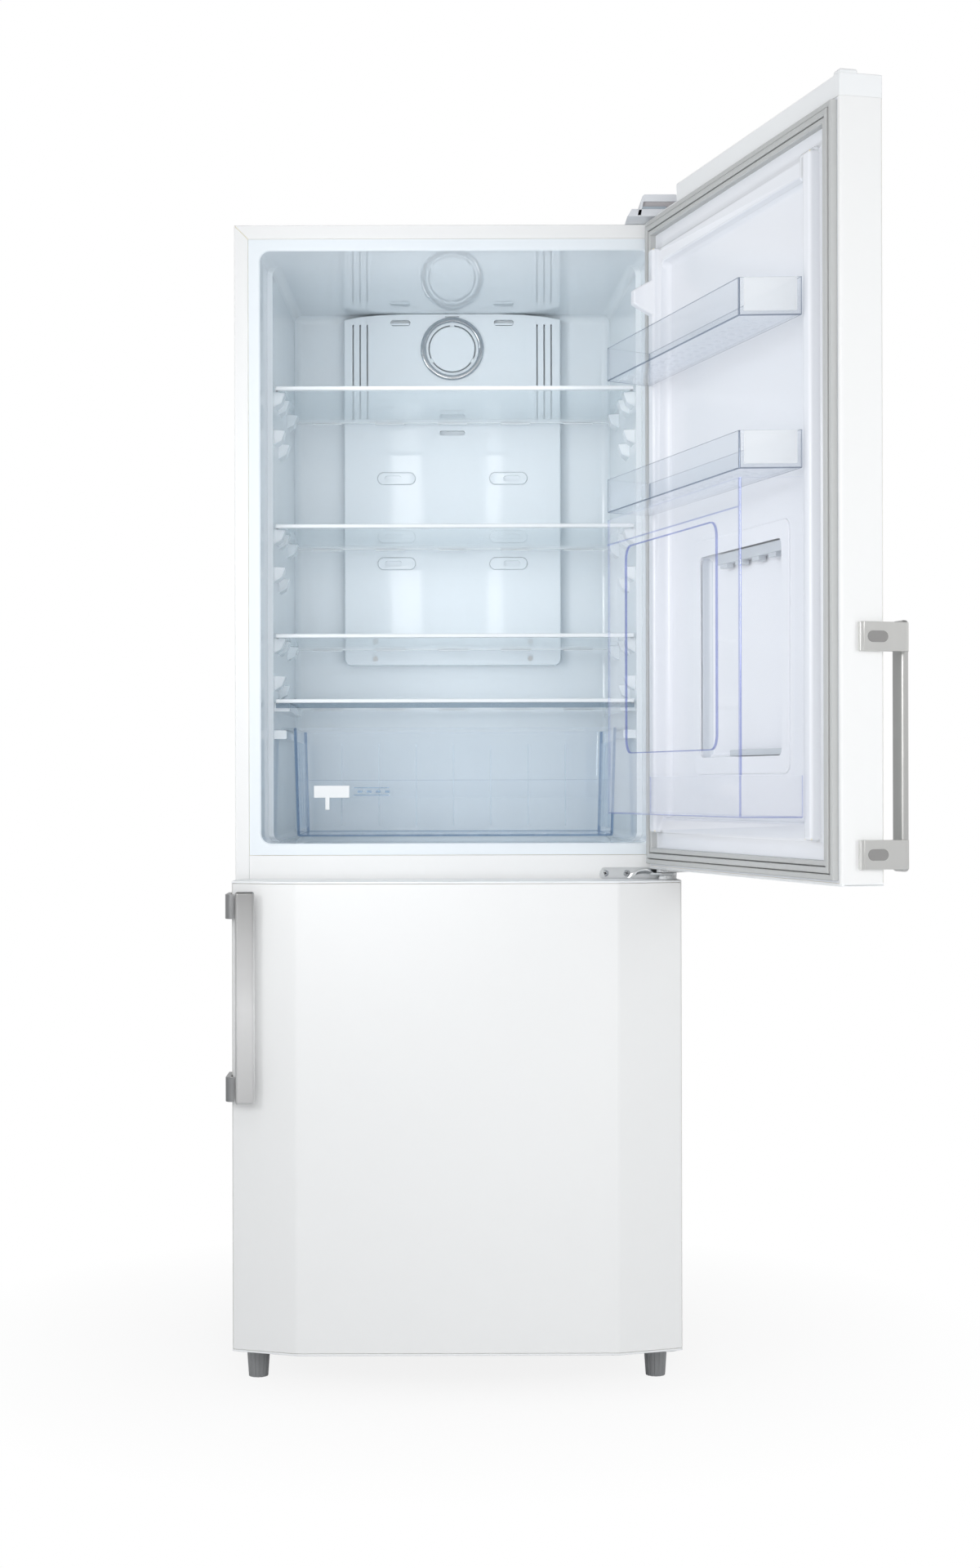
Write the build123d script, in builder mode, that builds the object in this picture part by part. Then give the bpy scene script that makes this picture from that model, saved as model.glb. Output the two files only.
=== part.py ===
from build123d import *
import os

os.makedirs("parts", exist_ok=True)

# A bottom freezer refrigerator, in millimetres. X is to the viewer's right, Y to the back and
# Z up. The origin is the centre of the base's underside; the feet reach below it to the floor.
# The upper door is drawn shut and turned about its pins to where it stands open.

# Cabinet
cab_w = 700.0
cab_d = 590.0
cab_h = 1774.0
skin = 1.0
wall = 41.0
rim = 22.0
return_w = 18.0
liner_t = 1.5
foot_h = 60.0
pan_t = 1.5
pan_side = 100.0
pan_rise = 5.0

# Compartments
mullion_z0 = 719.0
mullion_h = 55.0
fridge_back_wall = 70.0
freezer_back_wall = 80.0
step_depth = 105.0
step_in = 8.0
front_draft = 4.0
back_draft = 13.0
corner_r = 15.0
bay_h = 200.0
bay_d = 200.0
bay_insulation = 45.0

# Doors
seal_gap = 12.0
door_t = 60.0
door_skin = 0.8
door_corner_r = 5.0
bevel_w = 101.0
bevel_d = 32.7
door_gap = 16.5
freezer_door_z0 = 5.0
freezer_door_lap = 17.5
hinge_notch = 122.0
hinge_side_rise = 3.0
fridge_door_rise = 29.0
cap_t = 4.0
flange_in = 6.0
open_angle = 105.2

# Hinges
pin_in = 20.0
pin_back = 40.0
pin_r = 4.0
pin_clearance = 0.06
pin_reach = 18.0
boss_r = 9.0
boss_end = 2.0
stop_r = 14.0
stop_h = 5.0
stop_len = 32.0
plate_t = 3.0
foot_plate_in = 10.0
foot_plate_d = 55.0
collar_r = 7.5
rest_gap = 0.2
hinge_w = 46.0
hinge_cover_w = 80.0
hinge_cover_step = 16.0
hinge_cover_low = 12.0
hinge_cover_h = 34.5
hinge_cover_wall = 2.5
mid_plate_w = 94.0
mid_plate_h = 18.5
mid_plate_in = 7.0
screw_head_r = 4.5
screw_head_h = 2.6

# Door liners and seals
dyke_in = 50.0
dyke_margin = 10.0
dyke_w = 23.0
dyke_n = 80.0
cross_dyke_n = 66.0
panel_n = 52.0
fridge_dyke_low = 58.0
fridge_dyke_top = 61.0
freezer_dyke_in = 55.0
tank_half = 150.0
tank_rise = 114.0
tank_drop = 75.0
tank_n = 34.0
seal_in = 8.0
seal_w = 25.0
seal_slack = 0.8

# Door bins
bin_n0 = 82.5
bin_n1 = 162.0
bin_lap = 7.0
bin_taper = 26.0
bin_wall = 2.2
bin_h = 52.0
bin_drops = (216.0, 417.0)
bin_lift = 25.0
bottle_rise = 30.0
bottle_bin_h = 56.0
bottle_lift = 9.0
guard_gap = 10.0
window_in = 80.5
window_sill = 36.0
window_head = 49.0
window_r = 20.0
guard_bar_h = 39.0
tab_t = 6.0
tab_gap = 1.0
tab_n = 62.0
tab_foot = 5.0
peg_n = 70.0
peg_w = 5.5
peg_gap = 0.3
peg_h = 10.0

# Shelves and crisper
shelf_drops = (196.5, 422.0, 601.5)
cover_rise = 232.0
shelf_front = 110.0
shelf_back_gap = 50.0
shelf_side_gap = 4.0
shelf_taper = 16.0
glass_t = 4.0
trim_h = 8.0
trim_d = 14.0
slide_gap = 0.4
lug_out = 16.0
lug_len = 60.0
lug_h = 26.0
crisper_rise = 8.0
crisper_h = 178.0
crisper_side_gap = 44.0
crisper_taper = 5.0
crisper_front = 117.0
crisper_back_gap = 83.0
crisper_wall = 2.5
crisper_rim_out = 19.0
rail_t = 3.0
rail_lap = 8.0
cover_lap = 6.0
slider_w = 58.0
slider_h = 22.0
slider_in = 63.0
slider_rise = 73.0
slider_travel = 20.0
slider_t = 2.5
tab_offset = 7.0
tab_w = 7.0
tab_h = 18.0

# Duct at the back of the fridge compartment
duct_half = 194.5
duct_rise = 307.0
duct_d = 30.0
duct_wall = 2.5
ring_drop = 64.0
ring_r = 56.7
disc_r = 42.7

# Handles
handle_len = 328.0
handle_end = 18.0
handle_top = 15.0
bracket_h = 38.0
bracket_out = 11.7
bracket_n = 36.0
bar_w = 30.0
bar_t = 22.0
bar_n = -19.0
bar_in = 8.0

# Freezer drawers
drawer_side_gap = 14.0
drawer_wall = 2.5
drawer_front = 41.0
drawer_back_gap = 79.0
drawer_rise = 11.0
drawer_hs = (180.0, 208.0, 208.0)
drawer_gaps = (22.0, 12.0)
ledge_reach = 24.0

# Feet and rollers
foot_in = 32.0
foot_back = 38.0
foot_top_r = 19.0
foot_base_r = 15.5
stud_r = 5.0
roller_in = 50.0
roller_front = 45.0
roller_r = 18.0
roller_w = 20.0
axle_r = 4.0
cheek_t = 2.0

# Fan, motor and cold plates in the freezer
fan_drop = 90.0
fan_r = 52.0
fan_gap = 22.0
shaft_r = 3.0
cover_back_gap = 67.0

# Places worked out from the sizes above
half_w = cab_w / 2
front_y = -cab_d / 2
back_y = cab_d / 2
inner_half = half_w - skin
flange_half = half_w - rim
opening_half = half_w - wall
inside_half = opening_half - front_draft - step_in
flange_w = wall - rim
pan_half = half_w - pan_side
fridge_depth = cab_d - fridge_back_wall
freezer_depth = cab_d - freezer_back_wall
mullion_z1 = mullion_z0 + mullion_h
fridge_z0 = mullion_z1 + flange_w
fridge_z1 = cab_h - wall
freezer_z0 = wall
freezer_z1 = mullion_z0 - flange_w
freezer_door_z1 = mullion_z0 + freezer_door_lap
fridge_door_z0 = freezer_door_z1 + door_gap
hinge_side_top = cab_h + hinge_side_rise
fridge_door_z1 = cab_h + fridge_door_rise
door_back = front_y - seal_gap
door_front = door_back - door_t
bay_y = back_y - bay_d
panel_back = back_y - skin
panel_front = panel_back - skin
band_top = pan_rise + pan_t
hinge_x = half_w - pin_in
hinge_y = door_front + pin_back
foot_x = half_w - foot_in
foot_y = front_y + foot_back
roller_x = half_w - roller_in
roller_y = back_y - roller_front
shelf_tops = tuple(fridge_z1 - drop for drop in shelf_drops)
cover_top = fridge_z0 + cover_rise
shelf_d = fridge_depth - shelf_front - shelf_back_gap
shelf_front_half = inside_half - shelf_side_gap
shelf_back_half = shelf_front_half - shelf_taper
crisper_z0 = fridge_z0 + crisper_rise
crisper_z1 = crisper_z0 + crisper_h
crisper_top_half = opening_half - crisper_side_gap
crisper_bottom_half = crisper_top_half - crisper_taper
crisper_rim = crisper_top_half + crisper_rim_out
crisper_d = fridge_depth - crisper_front - crisper_back_gap
slider_x = slider_in - crisper_top_half
slider_z = crisper_z0 + slider_rise
tab_x = slider_x - tab_offset
duct_z0 = fridge_z0 + duct_rise
ring_z = fridge_z1 - ring_drop
fridge_dyke_half = half_w - dyke_in
fridge_dyke_z0 = fridge_door_z0 + fridge_dyke_low
fridge_dyke_z1 = hinge_side_top - fridge_dyke_top
bin_back_half = fridge_dyke_half - dyke_w + bin_lap
bin_front_half = bin_back_half - bin_taper
bin_zs = tuple(fridge_dyke_z1 - drop for drop in bin_drops)
bottle_z0 = fridge_dyke_z0 + bottle_rise
guard_z1 = bin_zs[1] - guard_gap
window_half = bin_front_half - window_in
window_z0 = bottle_z0 + bottle_bin_h + window_sill
window_z1 = guard_z1 - window_head
tank_z0 = fridge_dyke_z0 + tank_rise
tank_z1 = bin_zs[1] - tank_drop
drawer_half = inside_half - drawer_side_gap
drawer_z0 = freezer_z0 + drawer_rise
drawer_z1 = drawer_z0 + drawer_hs[0] + drawer_gaps[0]
drawer_z2 = drawer_z1 + drawer_hs[1] + drawer_gaps[1]
drawer_zs = tuple((low, low + tall) for low, tall in zip((drawer_z0, drawer_z1, drawer_z2), drawer_hs))
freezer_back = front_y + freezer_depth
cover_y = freezer_back - cover_back_gap
fan_y = cover_y + fan_gap
fan_z = freezer_z1 - fan_drop
front_plane = Plane.XZ.offset(-front_y)
back_plane = Plane.XZ.offset(-back_y)
door_back_plane = Plane.XZ.offset(-door_back)
swing = Location((hinge_x, hinge_y, 0), (0, 0, open_angle)) * Location((-hinge_x, -hinge_y, 0))


def slab(xs, ys, zs, mode=Mode.ADD):
    """A block between two x, two y and two z values."""
    with Locations((sum(xs) / 2, sum(ys) / 2, sum(zs) / 2)):
        Box(xs[1] - xs[0], ys[1] - ys[0], zs[1] - zs[0], mode=mode)


def both(x0, x1):
    """The same stretch of x on the right and on the left."""
    return ((x0, x1), (-x1, -x0))


def upright(x, y, z0, z1, radius, mode=Mode.ADD):
    """A cylinder along Z."""
    with Locations((x, y, (z0 + z1) / 2)):
        Cylinder(radius, z1 - z0, mode=mode)


def crosswise(x0, x1, y, z, radius, mode=Mode.ADD):
    """A cylinder along X."""
    with Locations(((x0 + x1) / 2, y, z)):
        Cylinder(radius, x1 - x0, rotation=(0, 90, 0), mode=mode)


def lengthwise(x, y0, y1, z, radius, mode=Mode.ADD):
    """A cylinder along Y."""
    with Locations((x, (y0 + y1) / 2, z)):
        Cylinder(radius, y1 - y0, rotation=(90, 0, 0), mode=mode)


def depth_y(n):
    """The y of a depth n behind the side edge of a shut door's front."""
    return door_front + n


def save(piece, name, move=None):
    """Label the finished piece and write it, turned with its door where the door stands open."""
    solid = piece.part if move is None else move * piece.part
    solid.label = name
    export_step(solid, f"parts/{name}.step")


# ---------------------------------------------------------------- cabinet

with BuildPart() as cabinet_shell:
    # Folded steel wrapper: two sides and the top, with a rim turned in at front and back.
    with BuildSketch(front_plane):
        with Locations((0, cab_h / 2)):
            Rectangle(cab_w, cab_h)
        with Locations((0, (cab_h - skin) / 2)):
            Rectangle(cab_w - 2 * skin, cab_h - skin, mode=Mode.SUBTRACT)
    extrude(amount=-cab_d)
    with BuildSketch(front_plane):
        with Locations((0, cab_h / 2)):
            Rectangle(cab_w, cab_h)
        with Locations((0, (cab_h - rim) / 2)):
            Rectangle(cab_w - 2 * rim, cab_h - rim, mode=Mode.SUBTRACT)
    extrude(amount=-skin)
    with BuildSketch(back_plane):
        with Locations((0, cab_h / 2)):
            Rectangle(cab_w, cab_h)
        with Locations((0, (cab_h - return_w) / 2)):
            Rectangle(cab_w - 2 * return_w, cab_h - return_w, mode=Mode.SUBTRACT)
    extrude(amount=skin)
save(cabinet_shell, "cabinet_shell")

bead_h = 0.8
bead_w = 90.0
bead_pitch = 200.0
bead_end = 60.0

with BuildPart() as back_panel:
    # Flat steel back with pressed upright beads, tucked inside the wrapper's rear rim.
    slab((-inner_half, inner_half), (panel_front, panel_back), (bay_h + skin, cab_h - skin))
    with BuildSketch(Plane.XZ.offset(-panel_back)):
        with Locations((0, (cab_h + bay_h) / 2)):
            with GridLocations(bead_pitch, 1, 3, 1):
                SlotOverall(cab_h - bay_h - 2 * bead_end, bead_w, rotation=90)
    extrude(amount=-bead_h)
save(back_panel, "back_panel")

lip_h = rim
nut_r = 9.0
nut_h = 9.0
cheek_gap = 1.0
cheek_w = 36.0
axle_z = roller_r - foot_h
roller_edge = 1.5

with BuildPart() as base_pan:
    # Pressed tray: a flat middle, two raised side bands, a front lip and the wall of the machine bay.
    slab((-pan_half, pan_half), (front_y + skin, panel_front), (0, pan_t))
    slab((-pan_half, pan_half), (front_y, front_y + pan_t), (0, lip_h))
    slab((-pan_half, pan_half), (bay_y, bay_y + pan_t), (0, bay_h))
    for xs in both(pan_half - pan_t, inner_half):
        slab(xs, (front_y + skin, panel_front), (pan_rise, band_top))
        slab(xs, (bay_y, bay_y + pan_t), (pan_rise, bay_h))
    for xs in both(pan_half - pan_t, pan_half):
        slab(xs, (front_y + skin, panel_front), (0, band_top))
    for xs in both(pan_half - pan_t, flange_half):
        slab(xs, (front_y, front_y + pan_t), (pan_rise, lip_h))
    slab((-inner_half, inner_half), (bay_y, panel_front), (bay_h - pan_t, bay_h))
    # Threaded bosses take the front feet, and pairs of cheeks take the rear rollers' axles.
    for x in (foot_x, -foot_x):
        upright(x, foot_y, pan_rise - nut_h, band_top, nut_r)
        upright(x, foot_y, pan_rise - nut_h, band_top, stud_r + pin_clearance, mode=Mode.SUBTRACT)
    for side in (1, -1):
        for edge in (-1, 1):
            inner = side * roller_x + edge * (roller_w / 2 + cheek_gap)
            outer = inner + edge * cheek_t
            slab(
                (min(inner, outer), max(inner, outer)),
                (roller_y - cheek_w / 2, roller_y + cheek_w / 2),
                (axle_z - 2 * axle_r, pan_rise),
            )
    for x in (roller_x, -roller_x):
        reach = roller_w / 2 + cheek_gap + cheek_t
        crosswise(x - reach, x + reach, roller_y, axle_z, axle_r, mode=Mode.SUBTRACT)
save(base_pan, "base_pan")

with BuildPart() as roller_axles:
    # Two short pins through the cheeks.
    for x in (roller_x, -roller_x):
        reach = roller_w / 2 + cheek_gap + cheek_t
        crosswise(x - reach, x + reach, roller_y, axle_z, axle_r)
save(roller_axles, "roller_axles")

for name, x in (("left_roller", -roller_x), ("right_roller", roller_x)):
    with BuildPart() as roller:
        # Small plastic wheel under a rear corner, free to turn on its axle.
        crosswise(x - roller_w / 2, x + roller_w / 2, roller_y, axle_z, roller_r)
        chamfer(roller.edges().filter_by(GeomType.CIRCLE), roller_edge)
        bore_r = axle_r + pin_clearance
        crosswise(x - roller_w / 2, x + roller_w / 2, roller_y, axle_z, bore_r, mode=Mode.SUBTRACT)
    save(roller, name)

foot_top = -8.0
flute_count = 14
flute_r = 1.6

for name, x in (("left_foot", -foot_x), ("right_foot", foot_x)):
    with BuildPart() as foot:
        # Fluted, tapered levelling foot on a threaded stud.
        with BuildSketch(Plane((x, foot_y, -foot_h))):
            Circle(foot_base_r)
            with PolarLocations(foot_base_r + flute_r / 2, flute_count):
                Circle(flute_r, mode=Mode.SUBTRACT)
        with BuildSketch(Plane((x, foot_y, foot_top))):
            Circle(foot_top_r)
            with PolarLocations(foot_top_r + flute_r / 2, flute_count):
                Circle(flute_r, mode=Mode.SUBTRACT)
        loft(ruled=True)
        upright(x, foot_y, foot_top, pan_rise, stud_r)
    save(foot, name)


# ---------------------------------------------------------------- liners and insulation

def outline_of_space(depth, grow):
    """Plan of a compartment from the front plane back: a wide mouth, a small step, then a taper."""
    mouth = opening_half - front_draft
    inner = mouth - step_in
    right = [
        (opening_half + grow, front_y),
        (mouth + grow, front_y + step_depth),
        (inner + grow, front_y + step_depth + step_in),
        (inner - back_draft + grow, front_y + depth + grow),
    ]
    left = [(-x, y) for x, y in reversed(right)]
    return right + left


def space(depth, z0, z1, grow):
    """The room inside a compartment or, with grow, the outside of its liner."""
    with BuildPart() as room:
        with BuildSketch(Plane.XY.offset(z0 - grow)):
            with BuildLine():
                Polyline(*outline_of_space(depth, grow), close=True)
            make_face()
        extrude(amount=z1 - z0 + 2 * grow)
        with BuildSketch(front_plane):
            with Locations((0, (z0 + z1) / 2)):
                RectangleRounded(2 * (opening_half + grow), z1 - z0 + 2 * grow, corner_r + grow)
        extrude(amount=-(depth + grow), mode=Mode.INTERSECT)
    return room.part


def wall_half(depth, full_depth=fridge_depth):
    """Half a compartment's width at a depth behind its step."""
    run = (depth - step_depth - step_in) / (full_depth - step_depth - step_in)
    return opening_half - front_draft - step_in - run * back_draft


hump_y = bay_y - bay_insulation
hump_z = bay_h + bay_insulation
fridge_room = space(fridge_depth, fridge_z0, fridge_z1, 0)
fridge_form = space(fridge_depth, fridge_z0, fridge_z1, liner_t)


def over_the_bay(room, grow):
    """A freezer space with its low back cut away for the insulated machine bay."""
    with BuildPart() as part_room:
        add(room)
        slab((-half_w, half_w), (hump_y + grow, back_y), (0, hump_z - grow), mode=Mode.SUBTRACT)
    return part_room.part


freezer_room = over_the_bay(space(freezer_depth, freezer_z0, freezer_z1, 0), 0)
freezer_form = over_the_bay(space(freezer_depth, freezer_z0, freezer_z1, liner_t), liner_t)


def liner_flange(z0, z1, opening_z0, opening_z1):
    """The liner's flat border between the steel rim and the opening."""
    with BuildSketch(front_plane) as border:
        with Locations((0, (z0 + z1) / 2)):
            Rectangle(2 * flange_half, z1 - z0)
        with Locations((0, (opening_z0 + opening_z1) / 2)):
            RectangleRounded(2 * opening_half, opening_z1 - opening_z0, corner_r, mode=Mode.SUBTRACT)
    extrude(border.sketch, amount=-liner_t)


lug_columns = ((160.0, 0.0), (238.0, 0.0), (390.0, 0.0), (160.0, 62.0), (238.0, 74.0))
rail_h = 14.0

with BuildPart() as shelf_lugs:
    # Blocks on both side walls, at a choice of heights, on which the glass shelves rest.
    for shelf_top in shelf_tops:
        for depth, drop in lug_columns:
            top = shelf_top - glass_t - slide_gap - drop
            ys = (front_y + depth - lug_len / 2, front_y + depth + lug_len / 2)
            if top - lug_h < cover_top + glass_t:
                continue
            for xs in both(wall_half(depth + lug_len / 2) - lug_out, half_w):
                slab(xs, ys, (top - lug_h, top))
    # A straight ledge on each side carries the crisper, and one above it the glass cover.
    ledge_ys = (front_y + step_depth + step_in + trim_d, front_y + shelf_front + shelf_d)
    crisper_ledge = crisper_z1 - rail_t - slide_gap
    cover_ledge = cover_top - glass_t - slide_gap
    for xs in both(crisper_rim - rail_lap, half_w):
        slab(xs, ledge_ys, (crisper_ledge - rail_h, crisper_ledge))
    for xs in both(shelf_back_half - cover_lap, half_w):
        slab(xs, ledge_ys, (cover_ledge - rail_h, cover_ledge))
    add(fridge_form, mode=Mode.INTERSECT)

with BuildPart() as fridge_liner:
    # White moulded lining of the fridge compartment.
    add(fridge_form)
    add(fridge_room, mode=Mode.SUBTRACT)
    add(shelf_lugs.part)
    liner_flange(mullion_z1, cab_h - rim, fridge_z0, fridge_z1)
save(fridge_liner, "fridge_liner")

ledge_back = 100.0
ledge_h = 8.0

with BuildPart() as drawer_ledges:
    # Ledges on the freezer's side walls, on which the drawers slide.
    for level, (z0, z1) in enumerate(drawer_zs):
        back = ledge_back if level else hump_y - trim_d
        for xs in both(opening_half - front_draft - step_in - ledge_reach, half_w):
            slab(xs, (front_y + step_depth + step_in, back), (z0 - slide_gap - ledge_h, z0 - slide_gap))
    add(freezer_form, mode=Mode.INTERSECT)

with BuildPart() as freezer_liner:
    # White moulded lining of the freezer compartment, stepped over the machine bay.
    add(freezer_form)
    add(freezer_room, mode=Mode.SUBTRACT)
    add(drawer_ledges.part)
    liner_flange(lip_h, mullion_z0, freezer_z0, freezer_z1)
save(freezer_liner, "freezer_liner")

crossbar_return = 10.0

with BuildPart() as crossbar:
    # Steel channel across the front between the two compartments.
    slab((-flange_half, flange_half), (front_y, front_y + skin), (mullion_z0, mullion_z1))
    for z0, z1 in ((mullion_z0, mullion_z0 + skin), (mullion_z1 - skin, mullion_z1)):
        slab((-opening_half, opening_half), (front_y, front_y + crossbar_return), (z0, z1))
save(crossbar, "crossbar")

with BuildPart() as insulation_foam:
    # Foam that fills the cabinet between the steel and the liners.
    slab((-inner_half, inner_half), (front_y + liner_t, panel_front), (band_top, cab_h - skin))
    slab((-inner_half, inner_half), (bay_y, panel_front), (band_top, bay_h), mode=Mode.SUBTRACT)
    add(fridge_form, mode=Mode.SUBTRACT)
    add(freezer_form, mode=Mode.SUBTRACT)
    add(crossbar.part, mode=Mode.SUBTRACT)
save(insulation_foam, "insulation_foam")


# ---------------------------------------------------------------- machine bay

compressor_x = 150.0
compressor_y = bay_y + bay_d / 2
compressor_r = 66.0
compressor_base_r = 40.0
compressor_z0 = 22.0
compressor_z1 = 166.0
mount_w = 150.0
mount_d = 110.0
mount_t = 3.0
grommet_r = 9.0
stub_r = 4.0
stub_len = 26.0
stub_zs = (60.0, 90.0)

with BuildPart() as compressor:
    # Sealed steel compressor on its mounting plate and four grommets.
    upright(compressor_x, compressor_y, compressor_z0, compressor_z1, compressor_r)
    fillet(compressor.edges().filter_by(GeomType.CIRCLE), compressor_r / 3)
    with Locations((compressor_x, compressor_y, compressor_z0 - mount_t / 2)):
        Box(mount_w, mount_d, mount_t)
    upright(compressor_x, compressor_y, compressor_z0 - mount_t, compressor_z0 + mount_t, compressor_base_r)
    for x in (-1, 1):
        for y in (-1, 1):
            upright(
                compressor_x + x * (mount_w / 2 - grommet_r),
                compressor_y + y * (mount_d / 2 - grommet_r),
                pan_t,
                compressor_z0 - mount_t,
                grommet_r,
            )
    for z in stub_zs:
        reach = compressor_x - compressor_r - stub_len
        crosswise(reach, compressor_x - compressor_r / 2, compressor_y, z, stub_r)
save(compressor, "compressor")

coil_x0 = -200.0
coil_x1 = 40.0
coil_margin = 40.0
coil_ys = (bay_y + coil_margin, back_y - coil_margin)
coil_zs = (40.0, 160.0)
fin_t = 1.0
fin_count = 20
end_t = 2.0
tube_r = 4.0
tube_pitch = 40.0
tube_rise = 30.0

with BuildPart() as condenser_coil:
    # Finned tube block that stands on its two end plates.
    coil_mid = (sum(coil_ys) / 2, sum(coil_zs) / 2)
    with Locations(((coil_x0 + coil_x1) / 2, coil_mid[0], coil_mid[1])):
        with GridLocations((coil_x1 - coil_x0) / (fin_count + 1), 1, fin_count, 1):
            Box(fin_t, coil_ys[1] - coil_ys[0], coil_zs[1] - coil_zs[0])
    for x in (coil_x0, coil_x1 - end_t):
        slab((x, x + end_t), coil_ys, (pan_t, coil_zs[1]))
    for z in (coil_mid[1] - tube_rise, coil_mid[1] + tube_rise):
        for y in (coil_mid[0] - tube_pitch, coil_mid[0], coil_mid[0] + tube_pitch):
            crosswise(coil_x0, coil_x1, y, z, tube_r)
save(condenser_coil, "condenser_coil")

tray_gap = 6.0
tray_h = 26.0

with BuildPart() as evaporation_tray:
    # Shallow open tray under the coil that dries off the defrost water.
    tray_xs = (coil_x0 + end_t + tray_gap, coil_x1 - end_t - tray_gap)
    slab(tray_xs, coil_ys, (pan_t, tray_h))
    slab(
        (tray_xs[0] + pan_t, tray_xs[1] - pan_t),
        (coil_ys[0] + pan_t, coil_ys[1] - pan_t),
        (2 * pan_t, tray_h),
        mode=Mode.SUBTRACT,
    )
save(evaporation_tray, "evaporation_tray")

inlet_x = -250.0
inlet_z = 60.0
inlet_w = 36.0
inlet_h = 26.0
inlet_d = 34.0
inlet_flange = 4.0
socket_w = 26.0
socket_h = 18.0
socket_d = 20.0
blade_d = 12.0
blade_w = 1.5
blade_h = 5.0
blade_pitch = 7.0

with BuildPart() as power_inlet:
    # Mains inlet: a socket with three blades, let into the bay's cover.
    with Locations((inlet_x, back_y - inlet_d / 2, inlet_z)):
        Box(inlet_w, inlet_d, inlet_h)
    with Locations((inlet_x, back_y - skin / 2, inlet_z)):
        Box(inlet_w + 2 * inlet_flange, skin, inlet_h + 2 * inlet_flange)
    with Locations((inlet_x, back_y - socket_d / 2, inlet_z)):
        Box(socket_w, socket_d, socket_h, mode=Mode.SUBTRACT)
    with Locations((inlet_x, back_y - socket_d + blade_d / 2, inlet_z)):
        with GridLocations(blade_pitch, 1, 3, 1):
            Box(blade_w, blade_d, blade_h)
save(power_inlet, "power_inlet")

vent_len = 60.0
vent_h = 5.0
vent_pitch = 78.0
vent_rows = 8

with BuildPart() as bay_cover:
    # Slotted cover over the machine bay.
    slab((-inner_half, inner_half), (panel_front, panel_back), (pan_t, bay_h))
    with BuildSketch(Plane.XZ.offset(-panel_back)):
        with Locations(((coil_x0 + coil_x1) / 2, coil_mid[1]), (compressor_x + vent_len / 2, coil_mid[1])):
            with GridLocations(vent_pitch, 3 * vent_h, 2, vent_rows):
                SlotOverall(vent_len, vent_h)
        with Locations((inlet_x, inlet_z)):
            Rectangle(inlet_w, inlet_h)
    extrude(amount=skin, mode=Mode.SUBTRACT)
save(bay_cover, "bay_cover")


# ---------------------------------------------------------------- behind the freezer drawers

cold_side_gap = 89.0
cold_d = 40.0
cold_back_gap = 10.0
cold_h = 220.0
cold_rise = 55.0
cold_fins = 24
cold_tube_rise = 80.0
cold_half = opening_half - cold_side_gap
cold_xs = (-cold_half, cold_half)
cold_ys = (freezer_back - cold_back_gap - cold_d, freezer_back - cold_back_gap)
cold_zs = (hump_z + cold_rise, hump_z + cold_rise + cold_h)

with BuildPart() as evaporator:
    # Finned cold block, held to the liner's back by its end plates.
    cold_mid = (sum(cold_ys) / 2, sum(cold_zs) / 2)
    with Locations((0, cold_mid[0], cold_mid[1])):
        with GridLocations((cold_xs[1] - cold_xs[0]) / (cold_fins + 1), 1, cold_fins, 1):
            Box(fin_t, cold_ys[1] - cold_ys[0], cold_zs[1] - cold_zs[0])
    for x in (cold_xs[0], cold_xs[1] - end_t):
        slab((x, x + end_t), (cold_ys[0], freezer_back), cold_zs)
    for z in (cold_mid[1] - cold_tube_rise, cold_mid[1], cold_mid[1] + cold_tube_rise):
        crosswise(cold_xs[0], cold_xs[1], cold_mid[0], z, tube_r)
save(evaporator, "evaporator")

cover_t = 2.5
motor_r = 18.0
motor_d = 18.0
hub_r = 20.0
fan_d = 16.0
blade_count = 6
blade_t = 2.0
blade_root = 4.0
blade_pitch_angle = 35.0
grille_count = 8
grille_w = 12.0
return_rise = 28.0
return_pitch = 56.0
return_len = 42.0
return_count = 8

with BuildPart() as evaporator_cover:
    # Panel in front of the cold block, with the fan's grille and the boss that holds the motor.
    cover_half = wall_half(cover_y + cover_t - front_y, freezer_depth)
    slab((-cover_half, cover_half), (cover_y, cover_y + cover_t), (hump_z, freezer_z1))
    with BuildSketch(Plane.XZ.offset(-cover_y)):
        with Locations((0, fan_z)):
            with PolarLocations((fan_r + motor_r) / 2, grille_count):
                SlotOverall(fan_r - motor_r, grille_w)
        with Locations((0, hump_z + return_rise)):
            with GridLocations(return_pitch, 1, return_count, 1):
                SlotOverall(return_len, grille_w)
    extrude(amount=-cover_t, mode=Mode.SUBTRACT)
    lengthwise(0, cover_y, cover_y + motor_d, fan_z, motor_r)
    lengthwise(0, cover_y + cover_t, cover_y + motor_d, fan_z, shaft_r + pin_clearance, mode=Mode.SUBTRACT)
save(evaporator_cover, "evaporator_cover")

with BuildPart() as freezer_fan:
    # Bladed wheel on its shaft, in front of the cold block's outlet.
    lengthwise(0, fan_y, fan_y + fan_d, fan_z, hub_r)
    lengthwise(0, cover_y + 2 * cover_t, fan_y, fan_z, shaft_r)
    for turn in range(blade_count):
        with Locations(Location((0, fan_y + fan_d / 2, fan_z), (0, turn * 360 / blade_count, 0))):
            with Locations(Location(((hub_r + fan_r - blade_root) / 2, 0, 0), (blade_pitch_angle, 0, 0))):
                Box(fan_r - hub_r + blade_root, blade_t, fan_d)
save(freezer_fan, "freezer_fan")


# ---------------------------------------------------------------- inside the fridge compartment

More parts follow.
